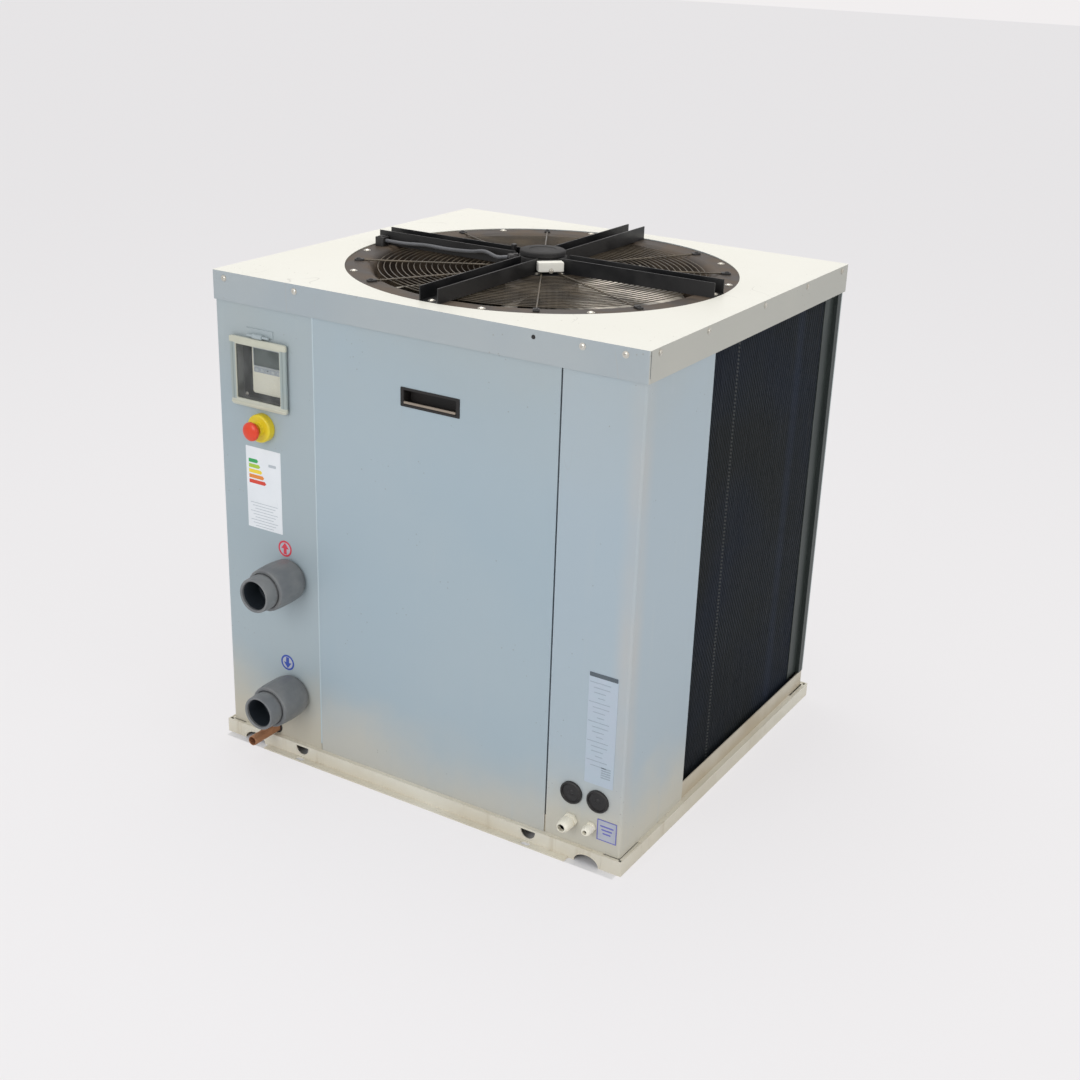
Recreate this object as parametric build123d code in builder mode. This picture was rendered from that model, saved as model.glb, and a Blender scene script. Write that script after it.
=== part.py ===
from build123d import *
from math import cos, pi, radians, sin, tan
import os

# Commercial top-discharge heat pump. Millimetres, +Z up, front towards -Y.
# The origin is the middle of the cabinet's footprint, at ground level.

# Cabinet
width = 1000.0
depth = 914.0
height = 1060.0
sheet = 2.0
seat_gap = 0.3
panel_bend = 6.0

# Base frame under the cabinet
base_height = 32.0
base_proud = 10.0
rail_sheet = 2.5
rail_flange = 40.0
foot_front_leg = 45.0
foot_side_leg = 85.0
foot_wall = 3.0
foot_pad = 4.0
anchor_lip = 18.0
anchor_lip_thick = 3.0
anchor_lip_length = 780.0
anchor_spacing = 588.0
anchor_slot_length = 22.0
anchor_slot_width = 12.0
lifting_hole_width = 34.0
lifting_hole_height = 19.0
lifting_hole_floor = 9.0
notch_width = 56.0
notch_height = 20.0
notch_end_land = 6.0

# Drain pan and coil
sill_height = 39.0
coil_window_start = 268.0
coil_thick = 38.0
coil_recess = 14.0
coil_top_drop = 12.0
coil_overlap = 4.0
coil_rib_pitch = 90.0
coil_rib_height = 2.0
coil_rib_width = 6.0
coil_fin_depth = 8.0
coil_pack_width = 30.0
coil_pack_pitch = 57.0

# Rear posts
post_face = 24.0
post_flange = 45.0

# Front panels
left_panel_width = 253.0
right_panel_width = 171.0
seam_narrow = 1.6
seam_wide = 3.6
panel_tuck = 40.0
door_return = 12.0

# Bulkhead between the machine compartment and the air side
bulkhead_drop = 160.0

# Lid
lid_lip = 60.0
lid_proud = 3.0
lid_corner = 5.0
opening_radius = 413.0

# Fan shroud, guard, arms, motor and impeller
shroud_sheet = 2.5
shroud_flange_lap = 15.0
throat_radius = 352.0
bell_radius = 20.0
bell_steps = 3
throat_length = 118.0
inlet_flare = 12.0
guard_wire = 3.0
guard_first_ring = 82.0
guard_rim_gap = 7.5
guard_ring_count = 11
guard_ring_sides = 24
guard_spoke_step = 30
guard_spoke_width = 4.0
guard_spoke_lap = 40.0
arm_width = 44.0
arm_height = 30.0
arm_sheet = 2.5
arm_start = 54.0
arm_rim_gap = 3.0
motor_radius = 52.0
motor_drop = 22.0
motor_plate_radius = 76.0
motor_plate_thick = 2.5
motor_cap_radius = 48.5
motor_cap_height = 11.0
motor_cap_round = 3.0
shaft_radius = 12.0
shaft_length = 64.0
terminal_neck_width = 36.0
terminal_width = 54.0
terminal_neck_end = 60.0
terminal_end = 78.0
terminal_height = 22.0
hub_radius = 78.0
hub_height = 94.0
hub_gap = 6.0
hub_rib_depth = 60.0
hub_wall = 6.0
hub_boss_radius = 26.0
blade_count = 5
blade_tip_gap = 9.0
blade_thick = 4.0
blade_chord_root = 120.0
blade_chord_mid = 185.0
blade_chord_tip = 235.0
blade_pitch_root = 36.0
blade_pitch_mid = 24.0
blade_pitch_tip = 17.0
blade_sweep_mid = 9.0
blade_sweep_tip = 24.0

# Motor cable along the left arm
cable_radius = 4.0
cable_sides = 8
cable_gland_radius = 8.0
cable_gland_length = 22.0
cable_gland_angle = -145.0
cable_gland_lift = 20.0
cable_block_size = (22.0, 24.0, 20.0)
cable_block_inset = 7.0

# Controller on the left front panel
controller_x = 117.0
controller_drop = 199.0
controller_size = 130.0
controller_depth = 22.0
controller_sink = 20.0
controller_wall = 3.0
cover_clearance = 5.0
cover_wall = 2.5
cover_window_width = 118.0
cover_window_height = 106.0
pane_lap = 4.0
pane_thick = 1.5
pad_width = 84.0
pad_height = 100.0
pad_depth = 11.0
pad_offset_x = 12.0
pad_raise = 4.0
screen_width = 70.0
screen_height = 34.0
screen_depth = 1.5
screen_drop = 5.0
hinge_pin_radius = 2.5
hinge_barrel_radius = 5.0
hinge_leaf_height = 14.0
hinge_leaf_thick = 2.0
hinge_leaf_width = 70.0
hinge_centre_length = 24.0
hinge_knuckle_length = 16.0
hinge_running_gap = 0.3
hinge_lift = 6.0

# Emergency stop
stop_drop = 113.0
stop_collar_radius = 30.0
stop_collar_depth = 18.0
stop_neck_radius = 15.0
stop_neck_depth = 26.0
stop_stem_radius = 9.0
stop_head_radius = 20.0
stop_head_gap = 8.0
stop_head_depth = 14.0

# Water connections
water_x = 179.0
water_outlet_z = 424.0
water_inlet_z = 150.0
water_reach = 118.0
socket_bore = 31.5
socket_wall = 7.2
socket_depth = 52.0
pipe_bore = 27.0
socket_inside = 20.0
nut_radius = 48.5
nut_start = 6.0
nut_length = 78.0
nut_end_radius = 44.5
nut_shoulder = 12.0
nut_grip_count = 12
nut_grip_depth = 6.4
nut_grip_width = 5.0

# Condensate drain
drain_x = 126.0
drain_z = 50.0
drain_radius = 11.0
drain_bore = 9.0
drain_reach = 82.0
drain_inside = 12.0
drain_shoulder = 0.5

# Right front panel fittings
plug_radius = 24.5
plug_depth = 6.0
plug_sides = 32
plug_inset = (114.0, 54.0)
plug_z = 145.0
gland_z = 83.0
gland_inset = (113.0, 66.0)
gland_nut_radius = (16.0, 11.5)
gland_length = (40.0, 28.0)
gland_bore = (8.0, 5.0)
gland_bore_depth = (34.0, 23.0)

# Handle recess in the service door
handle_offset_x = -2.0
handle_drop = 180.0
handle_width = 126.0
handle_height = 32.0
handle_depth = 24.0
handle_wall = 2.0
handle_flange = 6.0
handle_flange_thick = 2.0

half_w = width / 2
half_d = depth / 2
base_half_w = half_w + base_proud
base_half_d = half_d + base_proud
lid_under = height - sheet
lip_bottom = height - lid_lip
pan_floor_top = base_height + sheet
pan_half_w = half_w - sheet - seat_gap
pan_half_d = half_d - sheet - seat_gap
front = -half_d
left = -half_w
coil_face = half_w - coil_recess
coil_rear_face = half_d - coil_recess
coil_top = lid_under - coil_top_drop
window_y = front + coil_window_start
shroud_flange_radius = opening_radius + shroud_flange_lap
guard_spoke_reach = throat_radius + guard_spoke_lap
arm_end = opening_radius - arm_rim_gap
controller_z = height - controller_drop
controller_opening = controller_size + 2 * seat_gap
stop_x = controller_x
stop_z = controller_z - stop_drop
handle_z = height - handle_drop
sill_top = base_height + sill_height
bulkhead_top = height - bulkhead_drop


def save(piece, name):
    piece.part.label = name
    export_step(piece.part, f"parts/{name}.step")


def on_front(x_from_left, out=0.0):
    """Plane on the cabinet's front, x from its left corner, facing out."""
    return Plane(origin=(left + x_from_left, front - out, 0), x_dir=(1, 0, 0), z_dir=(0, -1, 0))


def spoke_plane(angle, lift=0.0):
    """Upright plane through the fan's axis: local x is the radius, local y is height."""
    turn = radians(angle)
    return Plane(
        origin=(0, 0, lift),
        x_dir=(cos(turn), sin(turn), 0),
        z_dir=(sin(turn), -cos(turn), 0),
    )


def outward_plane(angle, radius, lift):
    """Plane square to the radius at an angle: local x runs sideways, local y is up."""
    turn = radians(angle)
    return Plane(
        origin=(radius * cos(turn), radius * sin(turn), lift),
        x_dir=(-sin(turn), cos(turn), 0),
        z_dir=(cos(turn), sin(turn), 0),
    )


os.makedirs("parts", exist_ok=True)

# Corner feet: an upright angle on a ground pad at each corner of the base
for side_x, name_x in ((-1, "left"), (1, "right")):
    for side_y, name_y in ((-1, "front"), (1, "rear")):
        pad_x = side_x * (base_half_w - foot_front_leg / 2)
        pad_y = side_y * (base_half_d - foot_side_leg / 2)
        with BuildPart() as foot:
            with BuildSketch():
                with Locations((pad_x, pad_y)):
                    Rectangle(foot_front_leg, foot_side_leg)
            extrude(amount=foot_pad)
            with BuildSketch(Plane.XY.offset(foot_pad)):
                with Locations((pad_x, side_y * (base_half_d - foot_wall / 2))):
                    Rectangle(foot_front_leg, foot_wall)
                with Locations((side_x * (base_half_w - foot_wall / 2), pad_y)):
                    Rectangle(foot_wall, foot_side_leg)
            extrude(amount=base_height - foot_pad)
        save(foot, f"foot_{name_y}_{name_x}")

# Front and rear rails: a channel with a turned-out anchor lip, lifting holes and arched notches
rail_half = base_half_w - foot_front_leg - seat_gap
hole_radius = lifting_hole_width / 2
notch_x = rail_half - notch_end_land - notch_width / 2
for side_y, rail_name in ((-1, "front_rail"), (1, "rear_rail")):
    web_y = side_y * (base_half_d - rail_sheet / 2)
    flange_y = side_y * (base_half_d - rail_flange / 2)
    lip_y = side_y * (base_half_d + anchor_lip / 2 - rail_sheet / 2)
    with BuildPart() as rail:
        with BuildSketch(Plane.XY.offset(base_height - rail_sheet)):
            with Locations((0, flange_y)):
                Rectangle(2 * rail_half, rail_flange)
        extrude(amount=rail_sheet)
        with BuildSketch():
            with Locations((0, web_y)):
                Rectangle(2 * rail_half, rail_sheet)
        extrude(amount=base_height)
        with BuildSketch():
            with Locations((0, lip_y)):
                Rectangle(anchor_lip_length, anchor_lip + rail_sheet)
        extrude(amount=anchor_lip_thick)
        with BuildSketch(Plane.XZ.offset(-web_y)):
            with GridLocations(anchor_spacing, 1, 2, 1):
                with Locations((0, lifting_hole_floor + hole_radius)):
                    Circle(hole_radius)
            with Locations((0, lifting_hole_floor + lifting_hole_height + hole_radius)):
                Rectangle(2 * rail_half, 2 * hole_radius, mode=Mode.SUBTRACT)
        extrude(amount=rail_sheet, both=True, mode=Mode.SUBTRACT)
        with BuildSketch(Plane.XZ.offset(-web_y)):
            with GridLocations(2 * notch_x, 1, 2, 1):
                Ellipse(notch_width / 2, notch_height)
        extrude(amount=rail_sheet, both=True, mode=Mode.SUBTRACT)
        slot_y = side_y * (base_half_d + anchor_lip / 2)
        with BuildSketch():
            with Locations((0, slot_y)):
                with GridLocations(anchor_spacing, 1, 2, 1):
                    SlotOverall(anchor_slot_length, anchor_slot_width)
        extrude(amount=anchor_lip_thick, mode=Mode.SUBTRACT)
    save(rail, rail_name)

# Side rails: plain channels between the feet
side_rail_length = 2 * (base_half_d - foot_side_leg - seat_gap)
with BuildPart() as side_rails:
    for side_x in (-1, 1):
        with BuildSketch(Plane.XY.offset(base_height - rail_sheet)):
            with Locations((side_x * (base_half_w - rail_flange / 2), 0)):
                Rectangle(rail_flange, side_rail_length)
        extrude(amount=rail_sheet)
        with BuildSketch():
            with Locations((side_x * (base_half_w - rail_sheet / 2), 0)):
                Rectangle(rail_sheet, side_rail_length)
        extrude(amount=base_height)
save(side_rails, "side_rails")

# Drain pan: a folded tray whose edge shows as the sill below the coil
with BuildPart() as drain_pan:
    with BuildSketch(Plane.XY.offset(base_height)):
        RectangleRounded(2 * pan_half_w, 2 * pan_half_d, panel_bend)
    extrude(amount=sill_height)
    with BuildSketch(Plane.XY.offset(pan_floor_top)):
        RectangleRounded(2 * (pan_half_w - sheet), 2 * (pan_half_d - sheet), panel_bend - sheet)
    extrude(amount=sill_height, mode=Mode.SUBTRACT)
    with BuildSketch(on_front(drain_x)):
        with Locations((0, drain_z)):
            Circle(drain_radius + seat_gap)
    extrude(amount=-4 * sheet, mode=Mode.SUBTRACT)
save(drain_pan, "drain_pan")

# Folded corner panels: one sheet round each front corner
panel_height = lid_under - base_height
for side_x, face_width, panel_name in (
    (-1, left_panel_width, "left_corner_panel"),
    (1, right_panel_width, "right_corner_panel"),
):
    with BuildPart() as corner_panel:
        with BuildSketch(Plane.XY.offset(base_height)):
            with Locations((side_x * (half_w - face_width / 2), front + coil_window_start / 2)):
                Rectangle(face_width, coil_window_start)
            inner_x = side_x * (half_w - sheet - face_width / 2)
            with Locations((inner_x, front + sheet + coil_window_start / 2)):
                Rectangle(face_width, coil_window_start, mode=Mode.SUBTRACT)
        extrude(amount=panel_height)
        with BuildSketch(Plane.XY.offset(sill_top + seat_gap)):
            with Locations((side_x * (half_w - coil_recess / 2), window_y - sheet / 2)):
                Rectangle(coil_recess, sheet)
        extrude(amount=lid_under - sill_top - seat_gap)
        fold = corner_panel.edges().filter_by(Axis.Z).group_by(Axis.Y)[0].sort_by(Axis.X)
        fillet(fold[0] if side_x < 0 else fold[-1], radius=panel_bend)
        if side_x < 0:
            with BuildSketch(on_front(water_x)):
                with Locations((0, water_outlet_z), (0, water_inlet_z)):
                    Circle(socket_bore + socket_wall + seat_gap)
            extrude(amount=-2 * sheet, mode=Mode.SUBTRACT)
            with BuildSketch(on_front(drain_x)):
                with Locations((0, drain_z)):
                    Circle(drain_radius + seat_gap)
            extrude(amount=-2 * sheet, mode=Mode.SUBTRACT)
            with BuildSketch(on_front(controller_x)):
                with Locations((0, controller_z)):
                    RectangleRounded(controller_opening, controller_opening, 2 * controller_wall)
            extrude(amount=-2 * sheet, mode=Mode.SUBTRACT)
    save(corner_panel, panel_name)

# Service door: a lift-off panel standing on the front rail, with turned-in side edges
door_left = left_panel_width + seam_narrow
door_right = width - right_panel_width - seam_wide
door_width = door_right - door_left
door_middle = (door_left + door_right) / 2
handle_x = door_middle + handle_offset_x
door_top = lip_bottom + panel_tuck
door_return_start = sill_top + sheet
with BuildPart() as service_door:
    with BuildSketch(on_front(door_middle)):
        with Locations((0, (base_height + door_top) / 2)):
            Rectangle(door_width, door_top - base_height)
    extrude(amount=-sheet)
    for edge_side in (-1, 1):
        with BuildSketch(on_front(door_middle, -sheet)):
            with Locations((edge_side * (door_width - sheet) / 2, (door_return_start + door_top) / 2)):
                Rectangle(sheet, door_top - door_return_start)
        extrude(amount=-door_return)
    with BuildSketch(on_front(handle_x)):
        with Locations((0, handle_z)):
            Rectangle(handle_width + 2 * seat_gap, handle_height + 2 * seat_gap)
    extrude(amount=-sheet, mode=Mode.SUBTRACT)
save(service_door, "service_door")

# Handle recess: a moulded cup with a flange round its mouth
with BuildPart() as handle_recess:
    with BuildSketch(on_front(handle_x)):
        with Locations((0, handle_z)):
            RectangleRounded(
                handle_width + 2 * handle_flange,
                handle_height + 2 * handle_flange,
                handle_flange,
            )
    extrude(amount=handle_flange_thick)
    with BuildSketch(on_front(handle_x)):
        with Locations((0, handle_z)):
            Rectangle(handle_width, handle_height)
    extrude(amount=-handle_depth)
    with BuildSketch(on_front(handle_x, handle_flange_thick)):
        with Locations((0, handle_z)):
            Rectangle(handle_width - 2 * handle_wall, handle_height - 2 * handle_wall)
    extrude(amount=-(handle_depth + handle_flange_thick - handle_wall), mode=Mode.SUBTRACT)
save(handle_recess, "handle_recess")

# Rear corner posts: stand on the sill, folded so that the coil's end sits behind a recessed flange
step_x = (pan_half_w + coil_face) / 2
step_y = (pan_half_d + coil_rear_face) / 2
for side_x, name_x in ((-1, "left"), (1, "right")):
    with BuildPart() as rear_post:
        with BuildSketch(Plane.XY.offset(sill_top)):
            with Locations((side_x * (pan_half_w - sheet / 2), pan_half_d - post_face / 2)):
                Rectangle(sheet, post_face)
            with Locations((side_x * (pan_half_w - post_face / 2), pan_half_d - sheet / 2)):
                Rectangle(post_face, sheet)
            with Locations((side_x * step_x, pan_half_d - post_face + sheet / 2)):
                Rectangle(pan_half_w - coil_face, sheet)
            with Locations((side_x * (pan_half_w - post_face + sheet / 2), step_y)):
                Rectangle(sheet, pan_half_d - coil_rear_face)
            with Locations((side_x * (coil_face + sheet / 2), pan_half_d - post_face - post_flange / 2)):
                Rectangle(sheet, post_flange + 2 * sheet)
            with Locations((side_x * (pan_half_w - post_face - post_flange / 2), coil_rear_face + sheet / 2)):
                Rectangle(post_flange + 2 * sheet, sheet)
        extrude(amount=lid_under - sill_top)
    save(rear_post, f"rear_post_{name_x}")

# Bulkhead: the sheet that closes the machine compartment off from the fan's air
bulkhead_y = window_y - sheet - coil_overlap
shelf_front = front + handle_depth + 2 * sheet
with BuildPart() as bulkhead:
    with BuildSketch(Plane.XY.offset(pan_floor_top)):
        with Locations((0, bulkhead_y)):
            Rectangle(2 * coil_face, sheet)
    extrude(amount=bulkhead_top - pan_floor_top)
    with BuildSketch(Plane.XY.offset(bulkhead_top - sheet)):
        with Locations((0, (bulkhead_y + shelf_front) / 2)):
            Rectangle(2 * coil_face, bulkhead_y - shelf_front)
    extrude(amount=sheet)
save(bulkhead, "bulkhead")

# Coil: slabs along the right side, the rear and the left side, standing in the drain pan.
# Packs of fins stand out of each slab's outer face as upright ribs.
coil_start = bulkhead_y + sheet / 2
side_coil_end = coil_rear_face - coil_thick - coil_rib_height - seat_gap
side_coil_length = side_coil_end - coil_start
side_coil_middle = (side_coil_end + coil_start) / 2
side_rib_count = int(side_coil_length // coil_rib_pitch)
slab_thick = coil_thick - coil_fin_depth
slab_centre = (coil_thick + coil_fin_depth) / 2
side_pack_count = int(side_coil_length // coil_pack_pitch) + 1
side_pack_pitch = (side_coil_length - coil_pack_width) / (side_pack_count - 1)
for side_x, coil_name in ((-1, "coil_left"), (1, "coil_right")):
    with BuildPart() as side_coil:
        with BuildSketch(Plane.XY.offset(pan_floor_top)):
            with Locations((side_x * (coil_face - slab_centre), side_coil_middle)):
                Rectangle(slab_thick, side_coil_length)
            with Locations((side_x * (coil_face - coil_fin_depth / 2), side_coil_middle)):
                with GridLocations(1, side_pack_pitch, 1, side_pack_count):
                    Rectangle(coil_fin_depth, coil_pack_width)
            with Locations((side_x * (coil_face - coil_thick - coil_rib_height / 2), side_coil_middle)):
                with GridLocations(1, coil_rib_pitch, 1, side_rib_count):
                    Rectangle(coil_rib_height, coil_rib_width)
        extrude(amount=coil_top - pan_floor_top)
    save(side_coil, coil_name)
rear_rib_count = int(2 * coil_face // coil_rib_pitch) - 1
rear_pack_span = 2 * coil_face - coil_thick
rear_pack_count = int(rear_pack_span // coil_pack_pitch) + 1
rear_pack_pitch = (rear_pack_span - coil_pack_width) / (rear_pack_count - 1)
with BuildPart() as coil_rear:
    with BuildSketch(Plane.XY.offset(pan_floor_top)):
        with Locations((0, coil_rear_face - slab_centre)):
            Rectangle(2 * coil_face, slab_thick)
        with Locations((0, coil_rear_face - coil_thick - coil_rib_height / 2)):
            with GridLocations(coil_rib_pitch, 1, rear_rib_count, 1):
                Rectangle(coil_rib_width, coil_rib_height)
    extrude(amount=coil_top - pan_floor_top)
    coil_bends = coil_rear.edges().filter_by(Axis.Z).group_by(Axis.Y)[-1]
    fillet(coil_bends, radius=slab_thick / 2)
    with BuildSketch(Plane.XY.offset(pan_floor_top)):
        with Locations((0, coil_rear_face - coil_fin_depth / 2)):
            with GridLocations(rear_pack_pitch, 1, rear_pack_count, 1):
                Rectangle(coil_pack_width, coil_fin_depth)
    extrude(amount=coil_top - pan_floor_top)
save(coil_rear, "coil_rear")

# Lid: a folded cap with a round opening
with BuildPart() as lid:
    with BuildSketch(Plane.XY.offset(lip_bottom)):
        RectangleRounded(width + 2 * lid_proud, depth + 2 * lid_proud, lid_corner)
    extrude(amount=lid_lip)
    with BuildSketch(Plane.XY.offset(lip_bottom)):
        RectangleRounded(
            width + 2 * (lid_proud - sheet),
            depth + 2 * (lid_proud - sheet),
            lid_corner - sheet,
        )
    extrude(amount=lid_lip - sheet, mode=Mode.SUBTRACT)
    with BuildSketch(Plane.XY.offset(lid_under)):
        Circle(opening_radius)
    extrude(amount=sheet, mode=Mode.SUBTRACT)
save(lid, "lid")

# Fan shroud: a flat ring under the lid, a rolled bell mouth, the throat and its flared inlet
bell_x = throat_radius + bell_radius
bell_z = lid_under - bell_radius
throat_bottom = lid_under - throat_length
flare_radius = throat_radius + inlet_flare
flare_bottom = throat_bottom - inlet_flare


def bell_points(radius):
    """The bell mouth's quarter turn from the flat ring down to the throat, in equal pressed steps."""
    turns = [radians(90 + 90 * step / bell_steps) for step in range(bell_steps + 1)]
    return [(bell_x + radius * cos(turn), bell_z + radius * sin(turn)) for turn in turns]


with BuildPart() as fan_shroud:
    with BuildSketch(Plane.XZ):
        with BuildLine():
            Polyline(
                (shroud_flange_radius, lid_under),
                *bell_points(bell_radius),
                (throat_radius, throat_bottom),
                (flare_radius, flare_bottom),
                (flare_radius + shroud_sheet, flare_bottom),
                (throat_radius + shroud_sheet, throat_bottom),
                *reversed(bell_points(bell_radius - shroud_sheet)),
                (shroud_flange_radius, lid_under - shroud_sheet),
                close=True,
            )
        make_face()
    revolve(axis=Axis.Z)
save(fan_shroud, "fan_shroud")

# Fan guard: rings welded under spokes whose ends rest on the shroud's ring
spoke_foot = lid_under + seat_gap
spoke_top = spoke_foot + guard_wire
ring_top = lid_under - seat_gap
spoke_bottom = ring_top - guard_wire / 3
last_ring = throat_radius - guard_rim_gap
guard_ring_pitch = (last_ring - guard_first_ring) / (guard_ring_count - 1)
spoke_start = guard_first_ring - guard_wire / 2
spoke_step = last_ring + guard_wire / 2
with BuildPart() as fan_guard:
    for angle in range(0, 360, guard_spoke_step):
        if angle % 90 == 0:
            continue
        with BuildSketch(spoke_plane(angle)):
            with BuildLine():
                Polyline(
                    (spoke_start, spoke_bottom),
                    (spoke_step, spoke_bottom),
                    (spoke_step, spoke_foot),
                    (guard_spoke_reach, spoke_foot),
                    (guard_spoke_reach, spoke_top),
                    (spoke_start, spoke_top),
                    close=True,
                )
            make_face()
        extrude(amount=guard_spoke_width / 2, both=True)
    with BuildSketch(Plane.XY.offset(ring_top - guard_wire)):
        for ring in reversed(range(guard_ring_count)):
            ring_radius = guard_first_ring + ring * guard_ring_pitch
            RegularPolygon(ring_radius + guard_wire / 2, guard_ring_sides)
            RegularPolygon(ring_radius - guard_wire / 2, guard_ring_sides, mode=Mode.SUBTRACT)
    extrude(amount=guard_wire)
save(fan_guard, "fan_guard")

# Fan arms: open channels from the motor's plate to the rim of the opening
for angle, arm_name in ((-90, "front"), (0, "right"), (90, "rear"), (180, "left")):
    with BuildPart() as fan_arm:
        with BuildSketch(outward_plane(angle, arm_start, lid_under)):
            with Locations((0, arm_sheet / 2)):
                Rectangle(arm_width, arm_sheet)
            for arm_side in (-1, 1):
                with Locations((arm_side * (arm_width - arm_sheet) / 2, arm_height / 2)):
                    Rectangle(arm_sheet, arm_height)
        extrude(amount=arm_end - arm_start)
    save(fan_arm, f"fan_arm_{arm_name}")

# Fan motor: a can hung by its plate from the arms, with a cap on top and a shaft below
can_top = lid_under + arm_height - arm_sheet
can_bottom = lid_under - motor_drop
shaft_bottom = can_bottom - shaft_length
cap_top = can_top + motor_cap_height
with BuildPart() as fan_motor:
    with BuildSketch(Plane.XZ):
        with BuildLine():
            Polyline(
                (0, shaft_bottom),
                (shaft_radius, shaft_bottom),
                (shaft_radius, can_bottom),
                (motor_radius, can_bottom),
                (motor_radius, lid_under - motor_plate_thick),
                (motor_plate_radius, lid_under - motor_plate_thick),
                (motor_plate_radius, lid_under),
                (motor_radius, lid_under),
                (motor_radius, can_top),
                (motor_cap_radius, can_top),
                (motor_cap_radius, cap_top - motor_cap_round),
                (motor_cap_radius - motor_cap_round, cap_top),
                (0, cap_top),
                close=True,
            )
        make_face()
    revolve(axis=Axis.Z)
save(fan_motor, "fan_motor")

# Terminal box: a neck against the motor's can and a wider cover between two arms
with BuildPart() as terminal_box:
    with BuildSketch(Plane(origin=(0, 0, spoke_top + seat_gap), x_dir=(1, -1, 0), z_dir=(0, 0, 1))):
        with Locations((terminal_neck_end / 2, 0)):
            Rectangle(terminal_neck_end, terminal_neck_width)
        with Locations(((terminal_neck_end + terminal_end) / 2, 0)):
            Rectangle(terminal_end - terminal_neck_end, terminal_width)
        Circle(motor_radius + seat_gap, mode=Mode.SUBTRACT)
    extrude(amount=terminal_height)
save(terminal_box, "terminal_box")

# Motor cable: from a gland on the can, along the left arm's near side, to a block on the ring
gland_turn = radians(cable_gland_angle)
gland_end = motor_radius + seat_gap + cable_gland_length
cable_lift = lid_under + cable_gland_lift
cable_lane = arm_width / 2 + 2 * cable_radius
block_width, block_depth, block_height = cable_block_size
block_face = arm_end - cable_block_inset - block_width
block_y = -cable_lane - 2 * cable_radius
cable_route = [
    (gland_end * cos(gland_turn), gland_end * sin(gland_turn), cable_lift),
    ((gland_end + 22) * cos(gland_turn), (gland_end + 22) * sin(gland_turn), cable_lift),
    (-118, -cable_lane - 13, cable_lift + 4),
    (-165, -cable_lane, cable_lift - 4),
    (-222, -cable_lane + 1, cable_lift - 7),
    (-278, -cable_lane - 1, cable_lift - 6),
    (-332, block_y, cable_lift - 8),
    (-block_face, block_y, cable_lift - 8),
]


def bend_radii(route):
    """Arc radius at each inner point: 0.45 of the shorter run over the tangent of half the turn."""
    points = [Vector(*point) for point in route]
    radii = []
    for before, corner, after in zip(points, points[1:], points[2:]):
        turn = radians((corner - before).get_angle(after - corner))
        shorter = min((corner - before).length, (after - corner).length)
        radii.append(0.45 * shorter / tan(turn / 2))
    return radii


cable_bends = bend_radii(cable_route)
with BuildPart() as motor_cable:
    with BuildLine() as cable_path:
        FilletPolyline(*cable_route, radius=cable_bends)
    cable_wire = cable_path.wire()
    with BuildSketch(Plane(origin=cable_wire @ 0, z_dir=cable_wire % 0)):
        RegularPolygon(cable_radius, cable_sides)
    sweep(path=cable_wire)
save(motor_cable, "motor_cable")
tube_volume = cable_sides / 2 * cable_radius**2 * sin(2 * pi / cable_sides) * cable_wire.length
print("cable bend radii", [round(radius) for radius in cable_bends])
print("cable length", round(cable_wire.length))
print("cable volume ratio", round(motor_cable.part.volume / tube_volume, 4))

# Cable fittings: the gland on the motor's can and the block that takes the cable at the rim
with BuildPart() as cable_fittings:
    gland_start = motor_radius + seat_gap
    with BuildSketch(outward_plane(cable_gland_angle, gland_start, cable_lift)):
        Circle(cable_gland_radius)
    extrude(amount=cable_gland_length)
    with BuildSketch(Plane.XY.offset(lid_under)):
        with Locations((-block_face - block_width / 2, block_y)):
            RectangleRounded(block_width, block_depth, cable_radius)
    extrude(amount=block_height)
save(cable_fittings, "cable_fittings")

# Impeller: a ribbed cup hub on the motor's shaft with swept, twisted blades
hub_top = can_bottom - hub_gap
hub_bottom = hub_top - hub_height
blade_z = hub_top - hub_height / 2
blade_tip = throat_radius - blade_tip_gap
blade_mid = (hub_radius + blade_tip) / 2
blade_stations = (
    (hub_radius - 2 * hub_wall, 0.0, blade_chord_root, blade_pitch_root),
    (blade_mid, blade_sweep_mid, blade_chord_mid, blade_pitch_mid),
    (blade_tip + 2 * blade_tip_gap, blade_sweep_tip, blade_chord_tip, blade_pitch_tip),
)
with BuildPart() as impeller:
    for blade in range(blade_count):
        blade_angle = blade * 360 / blade_count + 40
        for radius, sweep_angle, chord, pitch in blade_stations:
            with BuildSketch(outward_plane(blade_angle + sweep_angle, radius, blade_z)):
                Rectangle(chord, blade_thick, rotation=pitch)
        loft(ruled=True)
    with BuildSketch(Plane.XY.offset(hub_bottom)):
        Circle(blade_tip)
    extrude(amount=hub_height, mode=Mode.INTERSECT)
    with BuildSketch(Plane.XY.offset(hub_bottom)):
        Circle(hub_radius)
    extrude(amount=hub_height)
    with BuildSketch(Plane.XY.offset(hub_bottom)):
        Circle(hub_radius - hub_wall)
        Circle(hub_boss_radius, mode=Mode.SUBTRACT)
    extrude(amount=hub_rib_depth, mode=Mode.SUBTRACT)
    for blade in range(blade_count):
        with BuildSketch(outward_plane(blade * 360 / blade_count, hub_boss_radius - 1, hub_bottom)):
            with Locations((0, hub_rib_depth / 2)):
                Rectangle(hub_wall, hub_rib_depth)
        extrude(amount=hub_radius - hub_boss_radius - hub_wall + 2)
    with BuildSketch(Plane.XY.offset(hub_bottom)):
        Circle(shaft_radius + seat_gap)
    extrude(amount=hub_height, mode=Mode.SUBTRACT)
save(impeller, "impeller")

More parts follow.
